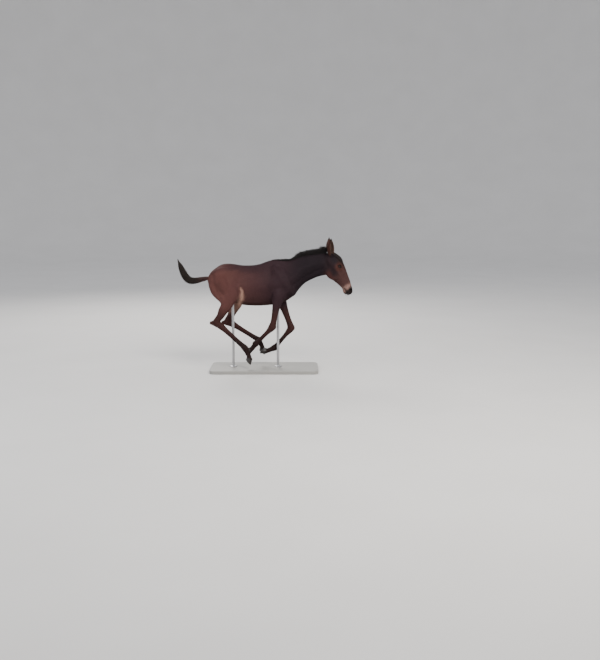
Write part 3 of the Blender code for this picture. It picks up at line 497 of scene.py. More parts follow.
def addLeg(clay, leg):
    points = legPoints(leg)
    points[-1] = (*points[-1][:3], 0.031, hoof["coronetHalfWidth"])
    rows = limbRows(points)
    front, back, _, _ = hoofPoints(leg)
    rows[-1] = (front.x, front.z, back.x, back.z, front.y, hoof["coronetHalfWidth"], 0, 0)
    addLoft(clay, splineRows(rows, 4), 24)
    if leg.startswith("hind"):  # the tendon down the back of the gaskin, and the point of the hock
        stifle, hock, fetlock, _ = (Vector(j) for j in legs[leg]["joints"])
        cannon = (fetlock - hock).normalized()
        behind = left.cross(cannon).normalized()
        point = hock - cannon * 0.030 + behind * 0.038
        back = left.cross(hock - stifle).normalized()
        top = stifle.lerp(hock, 0.50) + back * 0.026
        middle = stifle.lerp(hock, 0.80).lerp(point, 0.45)
        lower = hock + cannon * 0.05 + behind * 0.014
        tendon = [(*top, 0.018, 0.016), (*middle, 0.014, 0.012), (*point, 0.016, 0.015)]
        addLoft(clay, splineRows(limbRows(tendon), 3), 16)
        addBall(clay, point, (0.018, 0.0155, 0.018))
        addLoft(clay, limbRows([(*point, 0.016, 0.015), (*lower, 0.017, 0.016)]), 16)


def addMuscles(clay):
    for side in (-1, 1):
        addBall(clay, (0.145, side * 0.054, 0.850), (0.056, 0.035, 0.150), math.radians(-30))
        addBall(clay, (0.132, side * 0.064, 0.722), (0.076, 0.034, 0.088), math.radians(20))
        addBall(clay, (0.218, side * 0.055, 0.778), (0.050, 0.036, 0.060))
        addBall(clay, (0.252, side * 0.034, 0.748), (0.044, 0.038, 0.056))
    for leg, side in (("hindRight", -1), ("hindLeft", 1)):
        stifle, hock = (Vector(j) for j in legs[leg]["joints"][:2])
        hip = Vector((-0.395, side * 0.068, 0.880))
        seat = Vector((-0.484, side * 0.052, 0.820))
        bend = Vector((-0.448, side * 0.058, 0.738))
        gaskin = stifle.lerp(hock, 0.30) + Vector((-0.013, 0, -0.010))
        thigh = [(*hip, 0.075, 0.045), (*hip.lerp(stifle, 0.5), 0.098, 0.047), (*stifle, 0.058, 0.042)]
        end = stifle.lerp(hock, 0.5)
        hamstring = [(*seat, 0.044, 0.040), (*bend, 0.048, 0.044), (*gaskin, 0.042, 0.037), (*end, 0.030, 0.026)]
        addBall(clay, (-0.390, side * 0.058, 0.888), (0.106, 0.058, 0.082), math.radians(-16))
        addLoft(clay, splineRows(limbRows(thigh), 4), 20)
        addLoft(clay, splineRows(limbRows(hamstring), 4), 20)
        addBall(clay, stifle + Vector((0.006, 0, 0)), (0.050, 0.040, 0.056))


def eyeCentre(side):
    share, reach, forward = foal["eyePlace"]
    return onHead(share, side * reach, forward)


# Forms on both sides of the head: share of its length, side and reach, then half sizes
headForms = [
    (0.300, 0.052, 0.032, (0.040, 0.019, 0.018)),  # brow
    (0.040, 0.040, -0.008, (0.024, 0.017, 0.026)),  # root of the ear
    (0.35, 0.045, -0.062, (0.088, 0.018, 0.062)),  # cheek
    (0.885, 0.027, 0.019, (0.030, 0.015, 0.018)),  # nostril
    (0.925, 0.016, -0.002, (0.028, 0.020, 0.018)),  # lip
]


def addHead(clay):
    rows = []
    for share, front, jaw, wide, frontTaper, backTaper in headStations:
        f, b = onHead(share, 0, front), onHead(share, 0, jaw)
        rows.append((f.x, f.z, b.x, b.z, 0, wide, frontTaper, backTaper))
    addLoft(clay, splineRows(rows, 5), 40, 2.4)
    pitch = foal["headPitch"]
    for side in (-1, 1):
        addBall(clay, eyeCentre(side), (0.029, 0.0215, 0.0230), pitch)
        for share, aside, reach, sizes in headForms:
            addBall(clay, onHead(share, side * aside, reach), sizes, pitch)
    addBall(clay, onHead(0.885, 0, -0.034), (0.032, 0.024, 0.016), pitch - 0.3)


# The tail's middle line from the root: x, y, z, half depth, half width
tailRows = [
    (-0.480, 0, 0.872, 0.018, 0.018),
    (-0.530, 0, 0.862, 0.020, 0.020),
    (-0.590, 0, 0.850, 0.024, 0.024),
    (-0.650, 0, 0.838, 0.030, 0.028),
    (-0.705, 0, 0.846, 0.035, 0.031),
    (-0.740, 0, 0.885, 0.035, 0.031),
    (-0.762, 0, 0.930, 0.030, 0.027),
    (-0.782, 0, 0.980, 0.020, 0.018),
    (-0.795, 0, 1.012, 0.005, 0.005),
]
dockSizes = ((0.017, 0.017), (0.0150, 0.0150), (0.0125, 0.0125), (0.011, 0.010), (0.009, 0.008), (0.004, 0.004))
dock = [(*row[:3], *sizes) for row, sizes in zip(tailRows, dockSizes)]

# Skin: one closed body from the muzzle to the coronets
skinSettings = {
    "voxel": 0.0042,
    "easeSteps": 128,
    "bodyTriangles": 86000,
    "softLevels": 20,
    "coatDepth": 0.0028,  # the skin lies this deep under the tips of the coat on the body
    "coatDepthLegs": 0.0016,
    "coatDepthFace": 0.0010,
}
clay = bmesh.new()
addLoft(clay, splineRows(trunkRows, 4), 44, 2.25)
addMuscles(clay)
addHead(clay)
for leg in legs:
    addLeg(clay, leg)
addLoft(clay, splineRows(limbRows(dock), 3), 16)
bmesh.ops.recalc_face_normals(clay, faces=clay.faces[:])
skinMesh = bpy.data.meshes.new("skin")
clay.to_mesh(skinMesh)
clay.free()
skin = bpy.data.objects.new("skin", skinMesh)
bpy.context.scene.collection.objects.link(skin)
remesh = skin.modifiers.new("oneSkin", "REMESH")
remesh.mode = "VOXEL"
remesh.voxel_size = skinSettings["voxel"]
applyModifiers(skin)

spots = pointsOf(skin)
isHead = ramp(spots[:, 0], 0.46, 0.58)
softness = ramp(spots[:, 2], 0.61, 0.68) * (1 - 0.85 * isHead)
softness = softness * ramp(spots[:, 0], -0.56, -0.52)
softness = np.maximum(softness, 0.06)
group = skin.vertex_groups.new(name="softness")
levels = skinSettings["softLevels"]
for level in range(1, levels + 1):
    chosen = np.nonzero(np.round(softness * levels) == level)[0]
    group.add(chosen.tolist(), level / levels, "REPLACE")
ease = skin.modifiers.new("ease", "SMOOTH")
ease.factor = 0.5
ease.iterations = skinSettings["easeSteps"]
ease.vertex_group = "softness"
applyModifiers(skin)

# The body is thinned, and the head keeps its close net of faces and gets a closer one still
spots = pointsOf(skin)
headAlong = (spots - pollRow) @ alongRow
group = skin.vertex_groups.new(name="body")
headFrom = {"along": -0.01, "x": 0.56}
onBody = (headAlong < headFrom["along"]) | (spots[:, 0] < headFrom["x"])
group.add(np.nonzero(onBody)[0].tolist(), 1, "REPLACE")
firsts = np.array([polygon.vertices[0] for polygon in skin.data.polygons])
headFaces = int((~onBody[firsts]).sum())
bodyFaces = len(skin.data.polygons) - headFaces
thin = skin.modifiers.new("thin", "DECIMATE")
thin.vertex_group = "body"
thin.ratio = min(1, (skinSettings["bodyTriangles"] + 2 * headFaces) / (2 * (bodyFaces + headFaces)))
applyModifiers(skin)
skin.vertex_groups.clear()
print("skin", len(skin.data.polygons), "faces, of the head", headFaces)

# Where the face's openings are
nostril = {
    "share": 0.908, "side": 0.0375, "reach": 0.018, "halfLength": 0.0162, "halfWidth": 0.0088,
    "turn": 0.55, "depth": 0.018, "inside": 0.012, "around": 0.024, "rim": 0.0030,
}
mouth = {
    "corner": (0.80, -0.026), "tip": (1.03, -0.012), "depth": 0.0040, "width": 0.0016,
    "lipsBelow": 0.86, "lipHeight": 0.0055, "lipSwell": 0.0016,
}
lids = {"halfLength": 0.0162, "halfHeight": 0.0112, "around": 0.034}
closerNet = {"fromShare": 0.66, "eye": 0.052, "nostril": 0.022, "lips": 0.007}  # where the net of faces is closer


def eyeAxes(side):
    # Line of sight, the long way between the corners of the lids, and the way from lower to upper lid
    look = (left * side + out * 0.42 - along * 0.04).normalized()
    longWay = (along - look * along.dot(look)).normalized()
    longWay = (longWay + out * 0.45).normalized()
    longWay = (longWay - look * longWay.dot(look)).normalized()
    upWay = look.cross(longWay).normalized()
    if upWay.dot(out) < 0:
        upWay = -upWay
    return look, longWay, upWay


def nostrilAxes(side):
    centre = onHead(nostril["share"], side * nostril["side"], nostril["reach"])
    pitch = foal["headPitch"] + nostril["turn"]
    longWay = Vector((math.cos(pitch), 0, -math.sin(pitch)))
    wideWay = Vector((math.sin(pitch), -side * 0.35, math.cos(pitch))).normalized()
    return centre, longWay, wideWay


def refine(obj, chooser):
    # Cuts every edge whose two ends are chosen, which makes four faces of one
    chosen = chooser(pointsOf(obj))
    bm = bmesh.new()
    bm.from_mesh(obj.data)
    edges = [e for e in bm.edges if chosen[e.verts[0].index] and chosen[e.verts[1].index]]
    bmesh.ops.subdivide_edges(bm, edges=edges, cuts=1, use_grid_fill=True)
    bmesh.ops.triangulate(bm, faces=[f for f in bm.faces if len(f.verts) > 4])
    bm.to_mesh(obj.data)
    bm.free()


def headPlaces(spots):
    # Share of the head's length, side, and reach out from its axis
    flat = spots - pollRow
    return flat @ alongRow / foal["headLength"], flat[:, 1], flat @ outRow


def distance(spots, place):
    return np.linalg.norm(spots - np.array(place), axis=1)


def lipHeight(spots):
    # How far a point is above the line between the lips, and how far on from its corner
    share, _, reach = headPlaces(spots)
    length = foal["headLength"]
    start = np.array((mouth["corner"][0] * length, mouth["corner"][1]))
    run = np.array((mouth["tip"][0] * length, mouth["tip"][1])) - start
    run = run / np.linalg.norm(run)
    flat = np.column_stack([share * length, reach]) - start
    return flat @ np.array((-run[1], run[0])), flat @ run


def nearFace(spots):
    share = headPlaces(spots)[0]
    return (share > -0.02) & (spots[:, 0] > 0.57)


def closeFace(spots):
    close = headPlaces(spots)[0] > closerNet["fromShare"]
    for side in (-1, 1):
        close |= distance(spots, eyeCentre(side)) < closerNet["eye"]
    return close & nearFace(spots)


def nearOpenings(spots):
    near = np.zeros(len(spots), bool)
    for side in (-1, 1):
        near |= distance(spots, eyeCentre(side)) < lids["around"]
        near |= distance(spots, nostrilAxes(side)[0]) < closerNet["nostril"]
    height, onward = lipHeight(spots)
    near |= (np.abs(height) < closerNet["lips"]) & (onward > -0.008) & (spots[:, 2] < 0.85)
    return near & nearFace(spots)


refine(skin, closeFace)
refine(skin, nearOpenings)
print("skin after closer net", len(skin.data.polygons), "faces")

spots = pointsOf(skin)
edges = edgesOf(skin)
faceWeight = nearFace(spots).astype(float)
spots = averaged(spots, edges, 4, faceWeight)
movePoints(skin, spots)

# Which part each point of the skin belongs to: lines through the body with their half sizes
bodyLines = {
    "trunk": [((r[0] + r[2]) / 2, 0, (r[1] + r[3]) / 2, 0.11) for r in trunkRows[:12]],
    "neck": [((r[0] + r[2]) / 2, 0, (r[1] + r[3]) / 2, 0.085) for r in trunkRows[11:18]],
    "head": [(*onHead(r[0], 0, (r[1] + r[2]) / 2), (r[1] - r[2]) / 2) for r in headStations],
    "dock": [(*r[:3], 0.018) for r in tailRows[1:]],
}
for leg in legs:
    first = 3 if leg.startswith("fore") else 2
    bodyLines[leg] = [(x, y, z, (deep + wide) / 2) for x, y, z, deep, wide in legPoints(leg)[first:]]
lineNames = list(bodyLines)


def nearestOnLine(spots, line):
    # Distance as a share of the line's half size, share of the way along, direction and foot
    line = np.array(line, float)
    best = np.full(len(spots), 1e9)
    share = np.zeros(len(spots))
    run = np.zeros((len(spots), 3))
    foot = np.zeros((len(spots), 3))
    lengths = np.linalg.norm(np.diff(line[:, :3], axis=0), axis=1)
    reach = np.concatenate([[0], np.cumsum(lengths)]) / lengths.sum()
    for k in range(len(line) - 1):
        a, b = line[k, :3], line[k + 1, :3]
        t = np.clip(((spots - a) @ (b - a)) / lengths[k] ** 2, 0, 1)
        near = a + t[:, None] * (b - a)
        size = line[k, 3] * (1 - t) + line[k + 1, 3] * t
        far = np.linalg.norm(spots - near, axis=1) / size
        closer = far < best
        best[closer] = far[closer]
        share[closer] = (reach[k] + t * (reach[k + 1] - reach[k]))[closer]
        run[closer] = (b - a) / lengths[k]
        foot[closer] = near[closer]
    return best, share, run, foot


def partsOf(spots):
    found = [nearestOnLine(spots, bodyLines[name]) for name in lineNames]
    far = np.array([f[0] for f in found])
    part = far.argmin(axis=0)
    pick = lambda column: np.array([f[column] for f in found])[part, np.arange(len(spots))]
    return part, pick(1), pick(2), pick(3)


def isPart(part, *names):
    return np.isin(part, [lineNames.index(name) for name in names])


part = partsOf(spots)[0]
print("skin parted into", {name: int((part == k).sum()) for k, name in enumerate(lineNames)})

# Muscles, bones and veins that show through on both sides of the trunk and neck: half width, height, then points x z
sideStrokes = [
    (0.016, -0.0040, [(0.150, 0.985), (0.205, 0.90), (0.245, 0.81)]),  # in front of the shoulder
    (0.013, 0.0025, [(0.085, 0.975), (0.130, 0.90), (0.190, 0.80)]),  # ridge of the shoulder blade
    (0.018, -0.0045, [(0.058, 0.92), (0.036, 0.82), (0.048, 0.74), (0.070, 0.67)]),  # behind the shoulder
    (0.034, 0.0035, [(0.105, 0.80), (0.115, 0.72)]),
    (0.022, -0.0030, [(0.175, 0.76), (0.150, 0.70)]),
    (0.038, -0.0050, [(-0.262, 0.90), (-0.272, 0.84)]),  # hollow of the flank
    (0.018, 0.0050, [(-0.268, 0.945), (-0.285, 0.938)]),  # point of the hip
    (0.012, 0.0050, [(-0.246, 0.80), (-0.226, 0.73), (-0.216, 0.665)]),  # fold of the flank
    (0.012, -0.0030, [(-0.205, 0.79), (-0.190, 0.72), (-0.184, 0.67)]),
    (0.012, -0.0048, [(-0.476, 0.900), (-0.466, 0.83), (-0.444, 0.76), (-0.405, 0.68)]),  # between the hamstrings
    (0.016, -0.0025, [(-0.370, 0.87), (-0.348, 0.80), (-0.335, 0.74)]),
    (0.026, 0.0030, [(-0.410, 0.90), (-0.400, 0.82)]),
    (0.0045, 0.0012, [(-0.02, 0.650), (-0.10, 0.640), (-0.18, 0.650), (-0.23, 0.67)]),  # vein of the belly
    (0.013, -0.0042, [(0.262, 0.80), (0.36, 0.877), (0.47, 0.93), (0.545, 0.955)]),  # groove of the throat
    (0.018, -0.0022, [(0.20, 0.985), (0.34, 1.025), (0.50, 1.050)]),
    (0.011, -0.0030, [(0.590, 1.06), (0.574, 1.00), (0.585, 0.94)]),  # behind the cheek
    (0.020, 0.0020, [(0.30, 0.93), (0.42, 0.985), (0.53, 1.01)]),
]
ribs = {"count": 8, "from": -0.015, "apart": 0.030}
for rib in range(ribs["count"]):
    x = ribs["from"] - ribs["apart"] * rib
    sideStrokes.append((0.0085, 0.0017, [(x + 0.012, 0.93), (x - 0.008, 0.85), (x - 0.010, 0.76), (x + 0.012, 0.685)]))


def farFrom(spots, points):
    # Distance from a broken line
    best = np.full(len(spots), 1e9)
    points = np.array(points, float)
    for a, b in zip(points, points[1:]):
        t = np.clip(((spots - a) @ (b - a)) / max((b - a) @ (b - a), 1e-9), 0, 1)
        best = np.minimum(best, np.linalg.norm(spots - (a + t[:, None] * (b - a)), axis=1))
    return best


def ridges(spots, strokes):
    # How far strokes of half width, height and points lift the skin
    return sum(height * np.exp(-((farFrom(spots, points) / width) ** 2)) for width, height, points in strokes)


normals = normalsOf(skin)
onTrunk = isPart(part, "trunk", "neck").astype(float)
onTrunk[isPart(part, *legs) & (spots[:, 2] > 0.64)] = 1
onTrunk = averaged(onTrunk[:, None], edges, 6)[:, 0]
facing = ramp(np.abs(normals[:, 1]), 0.25, 0.7) * ramp(np.abs(spots[:, 1]), 0.015, 0.035)
strokeStrength = 1.3
lift = strokeStrength * ridges(spots[:, [0, 2]], sideStrokes) * facing * onTrunk


def legPlace(leg, bone, share, forward, side):
    # A place beside a leg's bone: share of the way down it, metres to its front and to its left
    a, b = (Vector(j) for j in legs[leg]["joints"][bone:bone + 2])
    run = (b - a).normalized()
    front = run.cross(left).normalized()
    if front.x < 0 and bone < 2:
        front = -front
    return np.array(a.lerp(b, share) + front * forward + left * side)


# Bumps and hollows of the legs: half width, height, then bone, share down it, forward, side
forePoints = [
    (0.011, 0.0065, [(1, -0.02, -0.030, 0.006), (1, 0.06, -0.027, 0.004)]),  # small bone behind the knee
    (0.010, 0.0022, [(0, 0.97, 0.027, -0.016), (0, 0.97, 0.027, 0.016)]),
    (0.008, -0.0020, [(1, 0.03, 0.030, -0.016), (1, 0.03, 0.030, 0.016)]),
    (0.0050, -0.0022, [(1, 0.22, -0.008, 0.019), (1, 0.80, -0.009, 0.019)]),  # between bone and tendon
    (0.0050, -0.0022, [(1, 0.22, -0.008, -0.019), (1, 0.80, -0.009, -0.019)]),
    (0.010, 0.0040, [(1, 0.985, -0.026, 0), (1, 1.02, -0.026, 0)]),  # back of the fetlock
    (0.008, 0.0020, [(1, 0.98, 0.004, 0.025), (1, 0.98, 0.004, -0.025)]),
    (0.014, -0.0025, [(0, 0.40, 0.006, 0.030), (0, 0.75, 0.004, 0.028)]),
    (0.014, -0.0025, [(0, 0.40, 0.006, -0.030), (0, 0.75, 0.004, -0.028)]),
]
hindPoints = [
    (0.028, 0.0065, [(0, 0.20, -0.045, 0), (0, 0.62, -0.030, 0)]),  # fullness of the gaskin, behind and in front
    (0.024, 0.0060, [(0, 0.45, 0.040, 0), (0, 0.78, 0.026, 0)]),
    (0.011, -0.0045, [(0, 0.62, -0.020, 0.026), (0, 0.92, -0.022, 0.022)]),  # in front of the tendon
    (0.011, -0.0045, [(0, 0.62, -0.020, -0.026), (0, 0.92, -0.022, -0.022)]),
    (0.009, 0.0022, [(1, 0.04, 0.018, 0.022), (1, 0.12, 0.014, 0.020)]),
    (0.0050, -0.0022, [(1, 0.25, -0.009, 0.020), (1, 0.82, -0.010, 0.020)]),
    (0.0050, -0.0022, [(1, 0.25, -0.009, -0.020), (1, 0.82, -0.010, -0.020)]),
    (0.010, 0.0040, [(1, 0.985, -0.027, 0), (1, 1.02, -0.027, 0)]),
    (0.008, 0.0020, [(1, 0.98, 0.004, 0.026), (1, 0.98, 0.004, -0.026)]),
]
for leg in legs:
    mine = averaged(isPart(part, leg).astype(float)[:, None], edges, 4)[:, 0]
    strokes = forePoints if leg.startswith("fore") else hindPoints
    strokes = [(width, height, [legPlace(leg, *p) for p in points]) for width, height, points in strokes]
    lift += mine * ridges(spots, strokes)

# Bones and folds of the face: half width, height, then points share, side, reach, on both sides
faceStrokes = [
    (0.0060, 0.0026, [(0.42, 0.060, -0.012), (0.56, 0.048, -0.010), (0.64, 0.042, -0.008)]),  # crest of the cheek
    (0.0100, -0.0024, [(0.46, 0.046, 0.020), (0.66, 0.036, 0.018), (0.80, 0.033, 0.016)]),
    (0.0075, -0.0022, [(0.24, 0.052, -0.100), (0.38, 0.052, -0.092), (0.45, 0.050, -0.070)]),
    (0.0110, -0.0035, [(0.215, 0.058, 0.034), (0.265, 0.060, 0.044)]),  # hollow over the eye
    (0.0050, 0.0016, [(0.285, 0.066, 0.036), (0.335, 0.064, 0.044), (0.385, 0.060, 0.036)]),  # brow
    (0.0030, -0.0014, [(0.30, 0.072, 0.004), (0.345, 0.073, -0.002), (0.39, 0.068, 0.006)]),  # fold under the eye
    # vein
    (0.0032, 0.0010, [(0.44, 0.056, -0.030), (0.56, 0.046, -0.032), (0.68, 0.038, -0.020), (0.78, 0.034, -0.006)]),
    (0.0028, -0.0013, [(0.86, 0.038, 0.010), (0.835, 0.037, 0.000), (0.83, 0.036, -0.012)]),  # folds behind the nostril
    (0.0026, -0.0010, [(0.845, 0.038, 0.018), (0.815, 0.037, 0.008), (0.81, 0.036, -0.006)]),
    (0.0040, -0.0014, [(0.79, 0.036, -0.026), (0.775, 0.036, -0.020)]),
    (0.0090, 0.0022, [(0.89, 0.0, -0.046), (0.93, 0.0, -0.042)]),  # chin
    (0.0300, 0.0030, [(0.22, 0.0, 0.060), (0.45, 0.0, 0.058), (0.72, 0.0, 0.046)]),  # bridge of the nose
]
inHead = nearFace(spots).astype(float)
for side in (-1, 1):
    strokes = [(width, height, [onHead(a, side * s, r) for a, s, r in points]) for width, height, points in faceStrokes]
    lift += inHead * ridges(spots, strokes)
height, onward = lipHeight(spots)
opening = ramp(onward, -0.002, 0.008) * inHead * (spots[:, 2] < mouth["lipsBelow"])
lift -= opening * mouth["depth"] * np.exp(-((height / mouth["width"]) ** 2))
lift += opening * mouth["lipSwell"] * np.exp(-(((np.abs(height) - mouth["lipHeight"]) / 0.0035) ** 2))
lift += 0.0012 * ramp(-spots[:, 2], -0.48, -0.40)  # fuller cannons
depth = np.full(len(spots), skinSettings["coatDepth"])
depth[isPart(part, *legs) & (spots[:, 2] < 0.60)] = skinSettings["coatDepthLegs"]
depth[inHead > 0] = skinSettings["coatDepthFace"]
depth = averaged(depth[:, None], edges, 20)[:, 0]
spots = spots + normals * (lift - depth)[:, None]

# Nostrils: a comma-shaped pit with a flared rim
for side in (-1, 1):
    centre, longWay, wideWay = nostrilAxes(side)
    flat = spots - np.array(centre)
    u = flat @ np.array(longWay) / nostril["halfLength"]
    v = flat @ np.array(wideWay) / nostril["halfWidth"]
    v = v + 0.45 * (u * u - 0.5)
    away = np.sqrt(u * u + v * v)
    mine = (spots[:, 1] * side > nostril["inside"]) & (np.linalg.norm(flat, axis=1) < nostril["around"])
    inward = np.array((-side * left * 0.85 - along * 0.45 - out * 0.1).normalized())
    spots += mine[:, None] * (nostril["depth"] * (1 - ramp(away, 0.50, 1.08)))[:, None] * inward
    rim = nostril["rim"] * np.exp(-(((away - 1.28) / 0.24) ** 2)) * (1 - 0.5 * ramp(-u, 0.2, 0.9)) * mine
    spots += normals * rim[:, None]

# Sockets: the skin inside the lids' opening is drawn in behind the eyeball
skinBefore = BVHTree.FromPolygons(spots.tolist(), [tuple(p.vertices) for p in skin.data.polygons])


def almond(u, v):
    # 1 on the edge of the opening between the lids, less inside it
    return np.sqrt(u * u + (v / (1 - 0.30 * np.clip(np.abs(u), 0, 1) ** 3)) ** 2)


def lidPlaces(spots, side):
    # Where points lie across the line of sight, 1 on the edge of the lids' opening, and from the eye's centre
    _, longWay, upWay = (np.array(way) for way in eyeAxes(side))
    flat = spots - np.array(eyeCentre(side))
    return almond(flat @ longWay / lids["halfLength"], flat @ upWay / lids["halfHeight"]), flat


socketDepth = foal["eyeRadius"] * 0.55
for side in (-1, 1):
    look = eyeAxes(side)[0]
    away, flat = lidPlaces(spots, side)
    forward = flat @ np.array(look)
    mine = (forward > 0) & (np.linalg.norm(flat, axis=1) < lids["around"])
    pull = np.where(mine, (1 - ramp(away, 1.35, 1.75)) * np.maximum(forward - socketDepth, 0), 0)
    spots -= pull[:, None] * np.array(look)
movePoints(skin, spots)
print("skin carved")


# Lids: a ring round each eye, from its inner edge on the eyeball out to the skin.
# Share of the opening, height over the ball or skin, how much it follows the skin
lidRings = [
    (0.94, 0.0002, 0), (0.985, 0.0008, 0), (1.04, 0.0021, 0), (1.13, 0.0028, 0), (1.26, 0.0029, 0),
    (1.42, 0.0024, 0.15), (1.58, 0.0012, 0.5), (1.80, 0.0012, 0.9), (2.05, 0.0006, 1), (2.30, -0.0006, 1),
    (2.55, -0.0030, 1),
]
lidSides = 56


def lidPoint(side, angle, scale, height, follow):
    look, longWay, upWay = eyeAxes(side)
    centre = eyeCentre(side)
    u, v = math.cos(angle), math.sin(angle)
    v *= 1 - 0.30 * abs(u) ** 3
    if v < 0:
        v *= 0.88  # the lower lid is flatter
    flat = longWay * (lids["halfLength"] * u * scale) + upWay * (lids["halfHeight"] * v * scale)
    radius = foal["eyeRadius"]
    forward = math.sqrt(max(radius**2 - flat.length_squared, 1e-8)) if flat.length < radius else 0
    ball = flat + look * forward
    direction = (ball + look * 0.004).normalized()
    onBall = centre + direction * (radius + height)
    hit = skinBefore.ray_cast(centre + direction * 0.06, -direction, 0.06)[0] if follow else None
    if hit is None:
        return onBall
    onSkin = hit + direction * height
    return onBall.lerp(onSkin, follow)


lidPoints, lidFaces = [], []
for side in (-1, 1):
    lidFaces += ringFaces(len(lidPoints), len(lidRings), lidSides)
    for scale, height, follow in lidRings:
        lidPoints += [lidPoint(side, 2 * math.pi * k / lidSides, scale, height, follow) for k in range(lidSides)]
lidPiece = objectFrom("lids", lidPoints, lidFaces)
bm = bmesh.new()
bm.from_mesh(lidPiece.data)
bmesh.ops.recalc_face_normals(bm, faces=bm.faces[:])
middles = [(face.normal, face.calc_center_median()) for face in bm.faces]
if sum(normal.dot(middle - eyeCentre(math.copysign(1, middle.y))) for normal, middle in middles) < 0:
    bmesh.ops.reverse_faces(bm, faces=bm.faces[:])
bm.to_mesh(lidPiece.data)
bm.free()


# Ears: a cup that opens forwards and outwards, thin at its rim
def earRing(share, sides):
    widest = foal["earWidestAt"]
    opened = 0.56 + 0.44 * math.sin(min(1, max(share, 0) / widest) * math.pi / 2)
    closed = max(0, (share - widest) / (1 - widest)) ** 1.9
    radius = max(foal["earWidest"] * opened * (1 - closed), 0.0030) - 0.0008
    halfAngle = math.radians(130 - 34 * max(share, 0))
    filled = max(0.0, 1 - max(share, 0) / 0.16)
    wall = min(0.0030, radius * 0.45)
    rim = math.cos(halfAngle)
    outer, inner = [], []
    for k in range(sides):
        angle = halfAngle * (2 * k / (sides - 1) - 1)
        side, back = math.sin(angle), math.cos(angle)
        fold = 1 + 0.018 * math.cos(angle * 6)  # soft ribs down the cup
        outer.append(Vector((radius * side, -radius * back, 0)))
        inside = (radius - wall) * (fold if abs(side) < 0.9 else 1)
        arc = Vector((inside * side, -inside * back, 0))
        chord = Vector(((radius - wall) * side, -(radius - wall) * rim, 0))
        inner.append(arc.lerp(chord, filled * 0.9))
    return outer + inner[::-1]


earShares = [-0.16, -0.08] + [k / 22 for k in range(22)] + [0.985]
earSides = 21
earFrames = {}
earPoints, earFaces = [], []
for side in (-1, 1):
    share0, reach0, out0 = foal["earRoot"]
    root = onHead(share0, side * reach0, out0)
    turn = Matrix.Rotation(-side * foal["earLean"], 4, "X") @ Matrix.Rotation(-foal["earBack"][side], 4, "Y")
    turn = turn @ Matrix.Rotation(side * foal["earOpening"] - math.pi / 2, 4, "Z")
    earFrames[side] = (root, turn)
    first, count = len(earPoints), earSides * 2
    for value in earShares:
        bend = Vector((0, foal["earBend"] * value**2, foal["earLength"] * value))
        earPoints += [root + (turn @ (p + bend)) for p in earRing(value, earSides)]
    earFaces += ringFaces(first, len(earShares), count)
    earFaces.append(tuple(range(first, first + count))[::-1])
    earFaces.append(tuple(range(len(earPoints) - count, len(earPoints))))
ears = objectFrom("ears", earPoints, earFaces)
turnOut(ears)
rounded = ears.modifiers.new("rounded", "SUBSURF")
rounded.levels = rounded.render_levels = 1
applyModifiers(ears)
print("lids and ears made")

# Colours of the coat, and where each lies. The purple tint in the shoulder, neck and cheek colours is painted light: a
# cool cast of sky and a bluish sheen over the dark coat.
coat = {
    "rump": rgb(92, 58, 54),
    "barrel": rgb(73, 47, 47),
    "shoulder": rgb(49, 33, 38),
    "neck": rgb(30, 22, 27),
    "legs": rgb(60, 36, 33),
    "lowerLegs": rgb(38, 25, 24),
    # painted shade: a darker colour for the underside of the belly
    "shadedBelly": rgb(54, 34, 31),
    "flank": rgb(176, 138, 122),
    "face": rgb(70, 47, 45),
    "forehead": rgb(40, 28, 27),
    "cheek": rgb(38, 26, 29),
    "jaw": rgb(70, 40, 37),
    "muzzle": rgb(146, 114, 105),
    "nose": rgb(36, 28, 27),
    "eyeRing": rgb(86, 50, 42),
    "lidEdge": rgb(14, 11, 11),
    "earBack": rgb(70, 44, 38),
    "earRim": rgb(20, 15, 15),
    "earInside": rgb(104, 82, 72),
    "hair": rgb(17, 13, 13),
    "tail": rgb(27, 19, 15),
    "horn": rgb(40, 34, 33),
}


def blended(colours, other, weight):
    return colours + (other - colours) * np.clip(weight, 0, 1)[:, None]


def painted(ground, layers):
    # Coats of colour over a ground, each with its weights
    colours = np.tile(coat[ground], (len(layers[0][1]), 1))
    for name, weight in layers:
        colours = blended(colours, coat[name], weight)
    return colours


waves = ((210, 170, 90), (-130, 260, 190), (330, -90, 410))  # they make the edges of the markings uneven
flankStreak = [(-0.214, 0.785), (-0.203, 0.750), (-0.207, 0.700), (-0.222, 0.660), (-0.240, 0.605)]


